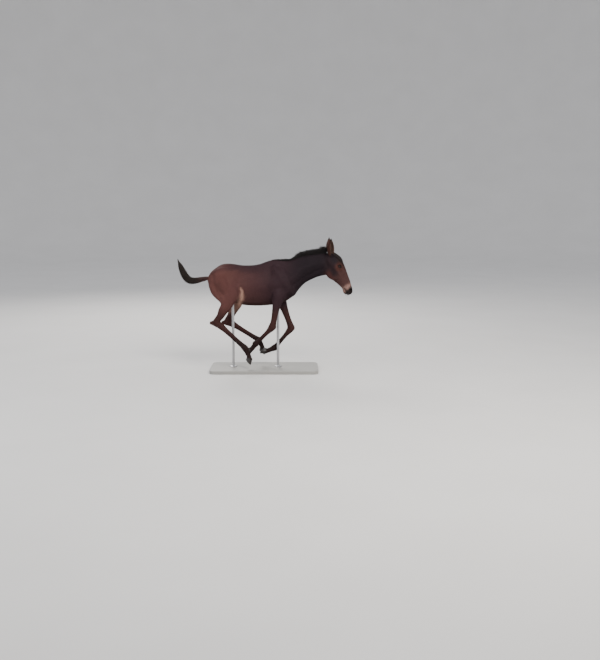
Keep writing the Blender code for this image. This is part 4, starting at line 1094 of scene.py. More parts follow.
def coatColour(spots, normals):
    # The markings, by place on the body, with painted shade where the coat faces down under the belly and, in part,
    # where it faces up on the back
    x, y, z = spots.T
    share, sideways, reach = headPlaces(spots)
    height, onward = lipHeight(spots)
    wave = sum(np.sin(spots @ way) for way in waves)
    # painted shade: the coat turns to the darker belly colour where it faces down under the belly
    facingDownShade = ramp(-normals[:, 2], 0.3, 0.9) * ramp(-z, -0.72, -0.62) * ramp(x, -0.42, -0.36)
    # partly the real darker back and partly painted shade: the coat darkens where it faces up, against the light from
    # above
    top = ramp(normals[:, 2], 0.15, 0.80) * ramp(z, 0.88, 0.95) * ramp(-x, -0.2, 0.0)
    spine = ramp(z, 0.955, 0.99) * ramp(-np.abs(y), -0.022, -0.006) * ramp(-x, -0.1, 0.05)
    inner = ramp(-np.sign(y) * normals[:, 1], -0.2, 0.6) * ramp(z, 0.50, 0.58) * ramp(-z, -0.74, -0.66)
    streak = farFrom(spots[:, [0, 2]], flankStreak) / (0.007 + 0.013 * ramp(-z, -0.79, -0.68) + 0.0016 * wave)
    face = ramp(x, 0.52, 0.60)
    layers = [
        ("rump", ramp(-x, 0.08, 0.42)),
        ("shoulder", ramp(x, -0.20, 0.14)),
        ("neck", ramp(x, 0.12, 0.38)),
        ("shadedBelly", facingDownShade),
        # painted shade on the upward-facing back, over its real darker colour
        ("shoulder", (0.80 - 0.45 * ramp(-x, 0.20, 0.42)) * top),
        ("hair", 0.55 * spine),
        ("legs", ramp(-z, -0.64, -0.50)),
        ("lowerLegs", ramp(-z, -0.40, -0.26)),
        ("flank", 0.50 * inner * ramp(-x, 0.14, 0.22)),
        ("flank", (0.95 - 0.25 * ramp(z, 0.72, 0.79)) * np.exp(-(streak**2))),
        ("face", face * ramp(share, 0.16, 0.45)),
        ("forehead", face * ramp(reach, 0.015, 0.045) * ramp(-share, -0.44, -0.26)),
        ("cheek", face * ramp(-reach, 0.00, 0.03) * ramp(-share, -0.55, -0.40)),
        ("jaw", 0.8 * face * ramp(-reach, 0.055, 0.09) * ramp(share, 0.24, 0.36)),
    ]
    for side in (-1, 1):
        away, flat = lidPlaces(spots, side)
        near = np.linalg.norm(flat, axis=1)
        layers.append(("eyeRing", (0.60 + 0.1 * wave) * np.exp(-(((near - 0.026) / 0.014) ** 2)) * face))
        layers.append(("lidEdge", (1 - ramp(away, 1.06, 1.38)) * (near < 0.030) * (y * side > 0)))
    edge = share + 0.007 * wave
    layers.append(("muzzle", 0.90 * ramp(edge, 0.715, 0.825) * face))
    layers.append(("nose", ramp(edge + 0.9 * (reach + 0.01), 0.825, 0.895) * face))
    for side in (-1, 1):
        layers.append(("nose", (1 - ramp(distance(spots, nostrilAxes(side)[0]), 0.017, 0.025)) * face))
    lips = np.exp(-((height / 0.007) ** 2)) * ramp(onward, -0.004, 0.006) * face * (z < mouth["lipsBelow"])
    layers.append(("nose", 0.85 * lips))
    return painted("barrel", layers)


def earPlaces(spots, normals, side):
    # Share of the way up an ear, and 1 inside its cup
    root, turn = earFrames[side]
    turn = np.array(turn.to_3x3())
    flat = (spots - np.array(root)) @ turn
    share = flat[:, 2] / foal["earLength"]
    flat[:, 1] -= foal["earBend"] * share**2
    radius = np.maximum(np.linalg.norm(flat[:, :2], axis=1), 1e-6)
    facing = normals @ turn
    return share, ramp(-(facing[:, 0] * flat[:, 0] + facing[:, 1] * flat[:, 1]) / radius, -0.1, 0.3)


def earColour(spots, normals):
    colours = np.zeros((len(spots), 3))
    for side in (-1, 1):
        mine = spots[:, 1] * side > 0
        share, inside = earPlaces(spots, normals, side)
        colours[mine] = painted("earBack", [
            ("earInside", inside * ramp(-share, -0.95, -0.75)),
            ("earRim", np.maximum(ramp(share, 0.74, 0.98), 0.7 * np.exp(-((inside - 0.45) / 0.25) ** 2))),
            ("forehead", ramp(-share, -0.15, -0.02)),
        ])[mine]
    return colours


for obj, colouring in ((skin, coatColour), (lidPiece, coatColour), (ears, earColour)):
    paint(obj.data, colouring(pointsOf(obj), normalsOf(obj)))

# Coat materials: skin under the hair, the short coat and the long hair share one maker
coatFinishes = {
    "skinFinish": {"roughness": 0.70, "shine": 0.10, "streak": (60, 420, 420), "bump": 0.5, "tint": 0.80},
    "coatFinish": {"roughness": 0.62, "shine": 0.13, "streak": (90, 300, 300), "bump": 0.0, "tint": 1.0},
    "hairFinish": {"roughness": 0.50, "shine": 0.22, "streak": (40, 500, 500), "bump": 0.0, "tint": 1.0},
}


def coatMaterial(name):
    facts = coatFinishes[name]
    material, shader, tone = newMaterial(name, {"Specular IOR Level": facts["shine"]})
    colour = tone.node("ShaderNodeAttribute", {"attribute_name": "coatColour"})
    places = objectPlaces(tone)
    patches = noise(tone, places, 11.0, 4.0, 0.6)
    streaks = noise(tone, stretched(tone, places, facts["streak"], math.radians(-18)), 1.0, 3.0, 0.6)
    light = (0.62 + patches * 0.36 + streaks * 0.42) * facts["tint"]
    grey = tone.node("ShaderNodeCombineXYZ", sockets={"X": light, "Y": light, "Z": light})
    roughness = facts["roughness"] - 0.10 + streaks * 0.22
    feed(shader, Base_Color=mixed(tone, 1.0, colour, grey, "MULTIPLY"), Roughness=roughness)
    if facts["bump"]:
        feed(shader, Normal=bumped(tone, facts["bump"], 0.0015, streaks))
    return material


skinFinish, coatFinish, hairFinish = (coatMaterial(name) for name in coatFinishes)


def trianglesOf(obj):
    obj.data.calc_loop_triangles()
    return np.array([t.vertices[:] for t in obj.data.loop_triangles])


skinTree = BVHTree.FromPolygons([v.co for v in skin.data.vertices], [tuple(p.vertices) for p in skin.data.polygons])
earSpots, earNormals, earTriangles = pointsOf(ears), normalsOf(ears), trianglesOf(ears)
bodySpots, bodyNormals, bodyTriangles = pointsOf(skin), normalsOf(skin), trianglesOf(skin)
bodyEdges = edgesOf(skin)
bpy.ops.object.select_all(action="DESELECT")
for obj in (lidPiece, ears, skin):
    obj.data.materials.clear()
    obj.select_set(True)
bpy.context.view_layer.objects.active = skin
bpy.ops.object.join()
fleshKinds = ("torso", "neck", "head", "ear", "tail", "forearm", "gaskin", "cannon", "pastern")
settle(skin, skinFinish, "coat", *[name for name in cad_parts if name.split("_")[0] in fleshKinds])
print("skin done,", len(skin.data.polygons), "faces")

# The lie of the coat over the body
part, _, run, _ = partsOf(bodySpots)
lie = run.copy()
for name, back, down in (("trunk", 1.0, 0.55), ("neck", 0.9, 0.45)):
    mine = isPart(part, name)
    lie[mine] = -run[mine] * back - np.array((0, 0, down)) * np.abs(bodyNormals[mine, 1:2])
lie = averaged(unit(lie), bodyEdges, 60)
lie = unit(lie - bodyNormals * np.sum(lie * bodyNormals, axis=1, keepdims=True))


def strands(name, points, faceUp, width, thick, colours, patchPlaces, tips=None, roundness=0.0, finish=hairFinish):
    # Tapered three-sided blades. points is strands x stations x 3, and the last station is the tip.
    # roundness turns their shading towards faceUp.
    count, stations, _ = points.shape
    width, thick = (np.broadcast_to(size, count) for size in (width, thick))
    forward = np.gradient(points, axis=1)
    side = unit(np.cross(forward, faceUp[:, None, :]))
    top = unit(np.cross(side, forward))
    taper = 1 - 0.75 * (np.arange(stations) / (stations - 1)) ** 1.6
    wide = width[:, None] * taper[None, :] / 2
    deep = thick[:, None] * taper[None, :]
    base = points[:, :-1]
    wide, deep = wide[:, :-1, None], deep[:, :-1, None]
    ring = np.stack([base + side[:, :-1] * wide, base - side[:, :-1] * wide, base + top[:, :-1] * deep], axis=2)
    corners = ring.reshape(count, -1, 3)
    vertices = np.concatenate([corners, points[:, -1:]], axis=1)
    each = vertices.shape[1]
    triangles = [(0, 2, 1)]
    for s in range(stations - 2):
        for p, q in ((0, 1), (1, 2), (2, 0)):
            a, b, c, d = s * 3 + p, s * 3 + q, s * 3 + 3 + q, s * 3 + 3 + p
            triangles += [(a, b, c), (a, c, d)]
    last = (stations - 2) * 3
    triangles += [(last + p, last + q, each - 1) for p, q in ((0, 1), (1, 2), (2, 0))]
    faces = (np.arange(count)[:, None, None] * each + np.array(triangles)[None]).reshape(-1, 3)
    rise = np.append(np.repeat(np.arange(stations - 1), 3), stations - 1) / (stations - 1)
    tips = colours if tips is None else tips
    shade = colours[:, None] + (tips - colours)[:, None] * rise[None, :, None]
    across = np.append(np.tile([0.0, 1.0, 0.5], stations - 1), 0.5) - 0.5
    patch = patchPlaces[:, None] + 0.003 * np.stack([across, rise - 0.5], axis=1)[None]
    turned = None
    if roundness:
        radial = vertices - np.concatenate([np.repeat(base, 3, axis=1), points[:, -1:]], axis=1)
        turned = unit(radial) * (1 - roundness) + faceUp[:, None, :] * roundness
        turned[:, -1] = faceUp
        turned = turned.reshape(-1, 3)
    vertices, shade, patch = vertices.reshape(-1, 3), shade.reshape(-1, 3), patch.reshape(-1, 2)
    return settle(objectFrom(name, vertices, faces, shade, patch, normals=turned), finish, "coat")


def tinted(colour, count, low, high):
    # A strand's own share of one colour, by chance
    return np.tile(colour, (count, 1)) * draw.uniform(low, high, (count, 1))


def scattered(spots, normals, triangles, weights, count, extra):
    # Places spread over triangles by area and weight
    a, b, c = (spots[triangles[:, k]] for k in range(3))
    area = np.linalg.norm(np.cross(b - a, c - a), axis=1) / 2 * weights[triangles].mean(axis=1)
    total = np.cumsum(area)
    picks = (np.arange(count) + draw.random(count)) / count * total[-1]
    face = np.minimum(np.searchsorted(total, picks), len(triangles) - 1)
    r1, r2 = np.sqrt(draw.random(count)), draw.random(count)
    blend = np.stack([1 - r1, r1 * (1 - r2), r1 * r2], axis=1)
    corner = triangles[face]
    join = lambda values: np.einsum("nk,nkd->nd", blend, values[corner])
    return join(spots), unit(join(normals)), unit(join(extra))


# Short coat: length, width, thickness and how far the tips stand off, in metres
coatPieces = {
    "coatTrunk": {
        "parts": ("trunk",), "count": 50000,
        "length": 0.0135, "width": 0.0014, "thick": 0.0005, "stand": 0.0017, "spread": 0.15,
    },
    "coatNeck": {
        "parts": ("neck",), "count": 16000,
        "length": 0.0140, "width": 0.0014, "thick": 0.0005, "stand": 0.0020, "spread": 0.15,
    },
    "coatHead": {
        "parts": ("head",), "count": 30000,
        "length": 0.0064, "width": 0.0009, "thick": 0.0003, "stand": 0.0007, "spread": 0.08,
    },
    "coatForelegs": {
        "parts": ("foreRight", "foreLeft"), "count": 12000,
        "length": 0.0085, "width": 0.0012, "thick": 0.0004, "stand": 0.0010, "spread": 0.12,
    },
    "coatHindlegs": {
        "parts": ("hindRight", "hindLeft"), "count": 18000,
        "length": 0.0092, "width": 0.0012, "thick": 0.0004, "stand": 0.0011, "spread": 0.12,
    },
}
mostStrands = 19000  # in one piece


def unwrapped(spots):
    # Where a root lies on the body's own unwrap: along its part, and round it
    part, share, run, foot = partsOf(spots)
    radial = spots - foot
    upward = np.cross(run, leftRow)
    angle = np.arctan2(radial[:, 1], np.sum(radial * upward, axis=1)) / (2 * math.pi) + 0.5
    return part, np.column_stack([0.01 + 0.98 * share, 0.01 + 0.98 * angle])


def bareness(spots):
    # 1 where no coat grows: eyes, nostrils and the line between the lips
    bare = np.zeros(len(spots))
    for side in (-1, 1):
        away, flat = lidPlaces(spots, side)
        bare = np.maximum(bare, (1 - ramp(away, 1.25, 1.55)) * (np.linalg.norm(flat, axis=1) < 0.032))
        bare = np.maximum(bare, 1 - ramp(distance(spots, nostrilAxes(side)[0]), 0.012, 0.018))
    height, onward = lipHeight(spots)
    onFace = (spots[:, 2] < mouth["lipsBelow"]) & (spots[:, 0] > 0.6)
    return np.maximum(bare, (np.abs(height) < 0.0028) & (onward > -0.002) & onFace)


def laid(spots, heights):
    # Places brought down to their height over the skin
    made = np.empty_like(spots)
    for k, spot in enumerate(spots):
        place, normal, _, _ = skinTree.find_nearest(spot)
        made[k] = place + normal * heights[k]
    return made


skinBare = bareness(bodySpots)
for name, facts in coatPieces.items():
    weights = isPart(part, *facts["parts"]) * (skinBare < 0.5)
    count = facts["count"]
    roots, up, flow = scattered(bodySpots, bodyNormals, bodyTriangles, weights.astype(float), count, lie)
    flow = unit(flow + np.cross(flow, up) * draw.normal(0, 0.22, count)[:, None])
    share, sideways, reach = headPlaces(roots)
    size = draw.uniform(0.75, 1.25, count)
    if name == "coatHead":
        size *= 0.50 + 0.50 * ramp(-share, -0.80, -0.35)
        size *= 1 + 0.8 * ramp(reach, 0.02, 0.05) * ramp(-share, -0.42, -0.22)
    length = facts["length"] * size
    stand = facts["stand"] * draw.uniform(0.4, 1.5, count)
    points = np.stack([
        roots - up * 0.0006,
        laid(roots + flow * (length * 0.5)[:, None], stand * 0.75),
        laid(roots + flow * length[:, None], stand),
    ], axis=1)
    colours = coatColour(roots + draw.normal(0, 0.0035, roots.shape), up)
    colours = colours * draw.uniform(1 - facts["spread"], 1 + facts["spread"], (count, 1))
    owner, where = unwrapped(roots)
    for k, one in enumerate(facts["parts"]):
        if len(facts["parts"]) > 1:
            mine = isPart(owner, one)
            where[mine, 1] = (where[mine, 1] + k) / len(facts["parts"])
    pieces = math.ceil(count / mostStrands)
    for k in range(pieces):
        mine = np.arange(count) % pieces == k
        label = name if pieces == 1 else f"{name}{k + 1}"
        own, sizes = colours[mine], (facts["width"], facts["thick"])
        strands(label, points[mine], up[mine], *sizes, own, where[mine], own * 1.05, 0.76, coatFinish)
    print(name, count, "tufts in", pieces, "pieces")

# Fur of the ears, short on their backs and longer inside
earFur = {"count": 8500, "length": 0.0080, "insideLength": 0.017, "width": 0.0010, "thick": 0.0004, "pastSolids": 0.012}
earLie = np.zeros_like(earSpots)
for side in (-1, 1):
    earLie[earSpots[:, 1] * side > 0] = np.array(earFrames[side][1].to_3x3() @ Vector((0, 0.1, 1)))
keep = ((earSpots - pollRow)[:, 2] > -0.02).astype(float)
roots, up, flow = scattered(earSpots, earNormals, earTriangles, keep, earFur["count"], earLie)
shares, inside = np.zeros(len(roots)), np.zeros(len(roots))
for side in (-1, 1):
    mine = roots[:, 1] * side > 0
    places = earPlaces(roots, up, side)
    shares[mine], inside[mine] = places[0][mine], places[1][mine]
flow = unit(flow - up * np.sum(flow * up, axis=1, keepdims=True) * 0.9)
flow = unit(flow + draw.normal(0, 0.18, flow.shape))
length = (earFur["length"] + (earFur["insideLength"] - earFur["length"]) * inside) * draw.uniform(0.6, 1.2, len(roots))
stand = 0.0012 + 0.0035 * inside * draw.random(len(roots))
points = np.stack([
    roots - up * 0.0005,
    roots + flow * (length * 0.5)[:, None] + up * (stand * 0.8)[:, None],
    roots + flow * length[:, None] + up * stand[:, None],
], axis=1)
points[:, :, 2] = np.minimum(points[:, :, 2], cadBox[1].z + earFur["pastSolids"])
where = np.column_stack([np.clip(shares, 0.01, 0.99), 0.25 + 0.2 * inside + 0.5 * (roots[:, 1] > 0)])
furColour = earColour(roots, up) * draw.uniform(0.8, 1.25, (len(roots), 1))
strands("coatEars", points, up, earFur["width"], earFur["thick"], furColour, where, furColour * 1.1, 0.4, coatFinish)
print("ears' fur", len(roots), "tufts")


def onLine(line, share):
    # Places at shares of the way along a line whose rows begin with x, y, z
    line = np.array(line, float)
    reach = np.concatenate([[0], np.cumsum(np.linalg.norm(np.diff(line[:, :3], axis=0), axis=1))])
    return np.stack([np.interp(np.asarray(share) * reach[-1], reach, column) for column in line.T], axis=-1)


# Mane: short hair that stands along the crest and leans to both sides
mane = {"count": 4200, "from": 0.095, "to": 0.575, "width": 0.0019, "thick": 0.0009, "rootWidth": 0.013}
maneRises = ((0.014, 0.06, 0.20), (0.026, 0.24, 0.36), (0.014, 0.48, 0.56))  # height gained, from x to x
crest = [(row[0], 0, row[1]) for row in splineRows(trunkRows[8:19], 4)]
crest = [row for row in crest if mane["from"] - 0.05 < row[0] < mane["to"] + 0.01]
crest = [tuple(skinTree.ray_cast(Vector((row[0], 0, row[2] + 0.05)), Vector((0, 0, -1)))[0] or row) for row in crest]
count = mane["count"]
share = 0.03 + 0.95 * (np.arange(count) + draw.random(count)) / count
here = onLine(crest, share)
forward = unit(onLine(crest, np.minimum(share + 0.02, 1)) - onLine(crest, np.maximum(share - 0.02, 0)))
up = unit(np.cross(forward, leftRow))
aside = draw.normal(0, 0.45, count)
across = np.clip(aside, -1, 1) * mane["rootWidth"]
height = 0.009 + sum(gained * ramp(here[:, 0], low, high) for gained, low, high in maneRises)
height = height * draw.uniform(0.70, 1.16, count) * (1 + 0.10 * np.sin(here[:, 0] * 90 + np.sin(here[:, 0] * 37) * 3))
lean = leftRow * (np.clip(aside, -0.8, 0.8) * 0.42 + draw.normal(0, 0.07, count))[:, None]
back = -forward * draw.uniform(0.05, 0.55, count)[:, None] + forward * (draw.random(count) < 0.15)[:, None] * 0.3
across *= 0.35 + 0.65 * ramp(here[:, 0], 0.08, 0.26)
root = here + leftRow * across[:, None] - up * (0.006 + 0.35 * np.abs(across))[:, None]
bends = ((0, 0, 0), (0.45, 0.7, 0.2), (0.78, 1.2, 0.7), (1.0, 1.8, 1.3))  # share of the height, lean, sweep back
points = np.stack([root + (up + lean * a + back * b) * (height * share1)[:, None] for share1, a, b in bends], axis=1)
hairColour = tinted(coat["hair"], count, 0.6, 1.6)
faceUp = unit(leftRow * np.where(aside > 0, 1.0, -1.0)[:, None] + up * 0.2)
where = np.column_stack([0.01 + 0.98 * share, 0.5 + 0.45 * np.clip(aside, -1, 1)])
width = mane["width"] * draw.uniform(0.7, 1.3, count)
strands("maneHair", points, faceUp, width, mane["thick"], hairColour, where, hairColour * 1.5 + 0.004, 0.3)

# Forelock: soft hair that rises between the ears and falls over the forehead
forelock = {
    "count": 1500,
    "width": 0.0016,
    "thick": 0.0008,
    # share of the head on from the root, spread, height over the face
    "fall": ((0.05, 0.90, 0.015), (0.11, 1.05, 0.014), (0.17, 1.15, 0.008), (0.22, 1.20, 0.002)),
}
faceFronts = np.array([(row[0], row[1]) for row in headStations])
count = forelock["count"]
across = draw.uniform(-1, 1, count)
start = draw.uniform(-0.05, 0.09, count)
lift = draw.uniform(0.25, 1.0, count) * (1 - 0.40 * across**2)
reach = draw.uniform(0.50, 1.12, count)


def overFace(share, side, rise):
    front = np.interp(share, faceFronts[:, 0], faceFronts[:, 1])
    drop = 3.2 * side**2
    middle = pollRow + np.outer(share * foal["headLength"], alongRow)
    return middle + np.outer(side, leftRow) + np.outer(front - drop + rise, outRow)


stations = [overFace(start, 0.024 * across, -0.006)]
for forward, spread, rise in forelock["fall"]:
    sideways = 0.034 * across * spread + draw.normal(0, 0.0030, count)
    stations.append(laid(overFace(start + forward * reach, sideways, 0), rise * lift))
points = np.stack(stations, axis=1)
hairColour = tinted(coat["hair"] * 0.6 + coat["forehead"] * 0.4, count, 0.6, 1.5)
faceUp = unit(outRow + np.outer(across, leftRow * 0.4))
where = np.column_stack([0.05 + 0.9 * (start + 0.05) / 0.14, 0.5 + 0.45 * across])
width = forelock["width"] * draw.uniform(0.7, 1.3, count)
strands("forelockHair", points, faceUp, width, forelock["thick"], hairColour, where, hairColour * 1.5, 0.3)

# Poll: the top of the mane, standing up between and behind the ears
poll = {"count": 700, "height": (0.030, 0.060), "width": 0.0018, "thick": 0.0009}
count = poll["count"]
across = draw.normal(0, 0.010, count)
start = draw.uniform(-0.06, 0.06, count)
root = overFace(start, across, -0.008)
swept, parted = draw.uniform(-0.35, 0.25, count), across * 16 + draw.normal(0, 0.10, count)
rise = unit(np.column_stack([swept, parted, np.ones(count)]))
height = draw.uniform(*poll["height"], count)
bend = np.column_stack([np.full(count, -0.16), across * 4, np.zeros(count)])
points = np.stack([root + (rise + bend * s) * (height * s)[:, None] for s in (0, 0.35, 0.7, 1.0)], axis=1)
hairColour = tinted(coat["hair"], count, 0.6, 1.6)
where = np.column_stack([0.05 + 0.9 * (start + 0.06) / 0.12, 0.5 + np.clip(across * 12, -0.45, 0.45)])
faceUp = unit(np.column_stack([np.full(count, 0.3), np.sign(across), np.zeros(count)]))
strands("pollHair", points, faceUp, poll["width"], poll["thick"], hairColour, where, hairColour * 1.5, 0.3)

# Tail: hair all along the dock that lies back along it and ends in a loose brush
tail = {"count": 2500, "width": 0.0021, "thick": 0.0010}
# Share of the way along a hair, and how far out it lies in the tail
hairSteps = ((0.0, 0.25), (0.2, 0.62), (0.4, 0.84), (0.6, 0.95), (0.8, 0.98), (1.0, 1.0))
line = splineRows(tailRows, 5)
count = tail["count"]
share0 = np.sort(draw.uniform(0.02, 0.80, count))
around = draw.uniform(0, 2 * math.pi, count)
reach = draw.uniform(0.20, 0.34, count)
full = draw.uniform(0.55, 1.02, count)
stations = []
for step, depth in hairSteps:
    share1 = np.clip(share0 + reach * step, 0, 1)
    row = onLine(line, share1)
    run = unit((onLine(line, np.clip(share1 + 0.02, 0, 1)) - onLine(line, np.clip(share1 - 0.02, 0, 0.98)))[:, :3])
    side = np.cross(run, leftRow)
    radial = side * (np.cos(around) * row[:, 3])[:, None] + np.outer(np.sin(around) * row[:, 4], leftRow)
    loose = draw.normal(0, 0.0022, (count, 3)) * step
    over = np.clip(share0 + reach * step - 1, 0, 1)[:, None] * run * 0.25
    stations.append(row[:, :3] + radial * (depth * full)[:, None] + loose + over)
points = np.stack(stations, axis=1)
faceUp = unit(points[:, 3] - onLine(line, np.clip(share0 + reach * 0.6, 0, 1))[:, :3])
hairColour = tinted(coat["tail"], count, 0.6, 1.7)
hairColour = blended(hairColour, coat["barrel"], 0.6 * ramp(-share0, -0.20, -0.04))
where = np.column_stack([0.01 + 0.98 * share0, 0.01 + 0.98 * around / (2 * math.pi)])
width = tail["width"] * draw.uniform(0.6, 1.3, count)
strands("tailHair", points, faceUp, width, tail["thick"], hairColour, where, hairColour * 1.4 + 0.003, 0.3)
print("mane, forelock and tail made")

# Eyes: a ball with a bulging cornea. place says where a point is, for the iris and the pupil
eyeFacts = {"irisRadius": 0.78, "pupilLength": 0.44, "pupilHeight": 0.20, "bulge": 0.0016, "bulgeRadius": 0.55}
eyeSockets = {"Roughness": 0.10, "Specular IOR Level": 0.15, "Coat Weight": 0.28, "Coat Roughness": 0.02}
eyeFinish, shader, tone = newMaterial("eyeFinish", eyeSockets)
places = tone.node("ShaderNodeAttribute", {"attribute_name": "place"}, output=1)
longPlace = tone.node("ShaderNodeSeparateXYZ", sockets={"Vector": places})
upPlace = Tone(tone.tree, longPlace.socket.node.outputs[1])
away = (longPlace * longPlace + upPlace * upPlace) ** 0.5
pupil = ((longPlace / eyeFacts["pupilLength"]) ** 2 + (upPlace / eyeFacts["pupilHeight"]) ** 2).above(0.85, 1.10)
iris = mixed(tone, noise(tone, places, 9.0, 5.0), (*rgb(24, 13, 8), 1), (*rgb(52, 30, 17), 1))
iris = mixed(tone, pupil, (0.003, 0.004, 0.007, 1), iris)
iris = mixed(tone, away.above(eyeFacts["irisRadius"] - 0.07, eyeFacts["irisRadius"]), iris, (*rgb(24, 16, 13), 1))
feed(shader, Base_Color=mixed(tone, away.above(0.86, 0.97), iris, (*rgb(88, 62, 52), 1)))
for side, node, label in ((-1, "eye_right", "eyeRight"), (1, "eye_left", "eyeLeft")):
    look, longWay, upWay = eyeAxes(side)
    bpy.ops.object.select_all(action="DESELECT")
    bpy.ops.mesh.primitive_uv_sphere_add(segments=48, ring_count=32, radius=foal["eyeRadius"] - 0.0001)
    eye = bpy.context.active_object
    eye.name = label
    local = pointsOf(eye)
    shape = local / foal["eyeRadius"]
    bulge = eyeFacts["bulge"] * np.exp(-((np.hypot(shape[:, 0], shape[:, 1]) / eyeFacts["bulgeRadius"]) ** 2))
    local = local + unit(local) * (bulge * (shape[:, 2] > 0))[:, None]
    movePoints(eye, np.array(eyeCentre(side)) + local @ np.array([longWay, upWay, look]))
    setPlaces(eye.data, shape)
    turnOut(eye)
    eye.data.shade_smooth()
    settle(eye, eyeFinish, "eye", node)

# Lashes on the upper lids
lash = {"count": 34, "width": 0.0005, "thick": 0.0004}
points, ups = [], []
for side in (-1, 1):
    _, longWay, upWay = (np.array(v) for v in eyeAxes(side))
    for k in range(lash["count"]):
        angle = math.radians(25 + 130 * (k + draw.random()) / lash["count"])
        root = np.array(lidPoint(side, angle, 1.06, 0.0020, 0))
        outward = unit(root - np.array(eyeCentre(side)))
        length = draw.uniform(0.008, 0.014)
        droop = outward * 0.9 - upWay * 0.15 + longWay * 0.25 * math.cos(angle) + longWay * 0.25
        bends = ((0, 0), (0.5, 0), (0.85, 0.35), (1.0, 0.55))  # share of the length, droop
        points.append([root + (droop - upWay * down) * length * share for share, down in bends])
        ups.append(upWay)
lashColour = np.tile(coat["lidEdge"], (len(points), 1))
where = draw.random((len(points), 2))
strands("lashes", np.array(points), np.array(ups), lash["width"], lash["thick"], lashColour, where)

# Hooves: a ringed wall, a hollow sole and a frog
hornSockets = {"Specular IOR Level": 0.45, "Coat Weight": 0.08, "Coat Roughness": 0.35}
hornFinish, shader, tone = newMaterial("hornFinish", hornSockets)
level = tone.node("ShaderNodeAttribute", {"attribute_name": "place"}, output=1)
level = tone.node("ShaderNodeSeparateXYZ", sockets={"Vector": level})
places = objectPlaces(tone)
wave = level * 17.0 + noise(tone, places, 40.0, 3.0) * 0.7
rings = {"W": wave, "Scale": 1.0, "Detail": 3.0, "Roughness": 0.6}
rings = tone.node("ShaderNodeTexNoise", {"noise_dimensions": "1D"}, rings)
grain = noise(tone, stretched(tone, places, (600, 600, 90)), 1.0, 3.0)
horn = mixed(tone, (rings * 0.7 + grain * 0.4).above(0.35, 0.75), (*rgb(21, 18, 18), 1), (*rgb(48, 41, 39), 1))
horn = mixed(tone, level.above(1.02, 1.10), horn, (*rgb(62, 54, 49), 1))
relief = bumped(tone, 0.55, 0.0009, rings * 1.2 + grain * 0.4)
feed(shader, Base_Color=horn, Roughness=0.36 + grain * 0.22, Normal=relief)
fringe = {"count": 170, "length": 0.009, "width": 0.0011, "thick": 0.0005}
fringePoints, fringeUps = [], []
sides = hoof["sides"]
for leg in legs:
    top, topBack, toe, heel = hoofPoints(leg)
    inwards = (toe - heel).cross(left).normalized()
    inwards = inwards if inwards.dot(top - toe) > 0 else -inwards
    rings, levels = [], []
    for share, swell in hoof["steps"]:
        front, back = top.lerp(toe, share), topBack.lerp(heel, share)
        reach = (front - back).normalized() * swell
        wide = hoof["coronetHalfWidth"] + (hoof["groundHalfWidth"] - hoof["coronetHalfWidth"]) * share + swell
        front, back = front + reach, back - reach
        rings.append(section((front.x, front.z, back.x, back.z, toe.y, wide, 0, 0.12 * share), sides, 2.1))
        levels.append(share)
    middle = sum(rings[0], Vector()) / sides
    for k in range(fringe["count"]):  # hair that hangs over the top of the wall
        first = draw.integers(sides)
        second = (first + 1) % sides
        blend = draw.random()
        rim = rings[0][first].lerp(rings[0][second], blend)
        lower = rings[4][first].lerp(rings[4][second], blend)
        down = (lower - rim).normalized()
        outward = (rim - middle).normalized()
        outward = (outward - down * outward.dot(down)).normalized()
        length = fringe["length"] * draw.uniform(0.5, 1.2)
        fringePoints.append([
            rim - down * 0.006 - outward * 0.003,
            rim + outward * 0.0010,
            rim + down * length * 0.6 + outward * 0.0028,
            rim + down * length + outward * 0.0026,
        ])
        fringeUps.append(outward)
    wall = rings[-1]
    centre = sum(wall, Vector()) / sides
    for inset, depth in hoof["sole"]:
        rings.append([centre + (p - centre) * inset + inwards * depth for p in wall])
        levels.append(1.03 + 0.1 * (1 - inset))
    vertices = [p for ring in rings for p in ring] + [centre + inwards * 0.006]
    faces = ringFaces(0, len(rings), sides)
    lastRing = (len(rings) - 1) * sides
    faces += [(lastRing + k, lastRing + (k + 1) % sides, len(vertices) - 1) for k in range(sides)]
    faces.append(tuple(range(sides))[::-1])
    # the frog: a wedge with a cleft, from the heels to the middle of the sole
    frogStart, around = len(vertices), len(hoof["cleft"])
    back = heel.lerp(toe, 0.02)
    tipPoint = heel.lerp(toe, hoof["frogLength"]) + inwards * 0.004
    for place, wide, high in hoof["frog"]:
        base = back.lerp(tipPoint, place / hoof["frogLength"]) + inwards * high
        vertices += [base + left * (across * wide) + inwards * drop for across, drop in hoof["cleft"]]
    faces += ringFaces(frogStart, len(hoof["frog"]), around)
    faces += [tuple(range(frogStart, frogStart + around)), tuple(range(len(vertices) - around, len(vertices)))]
    levels = np.concatenate([np.repeat(levels, sides), [1.12], np.full(len(vertices) - frogStart, 1.2)])
    places = np.column_stack([levels, levels * 0, levels * 0])
    made = objectFrom("hoof" + leg[0].upper() + leg[1:], vertices, faces, places=places)
    turnOut(made)
    made.data.set_sharp_from_angle(angle=math.radians(50))
    settle(made, hornFinish, "hoof", f"hoof_{leg[:4]}_{leg[4:].lower()}")

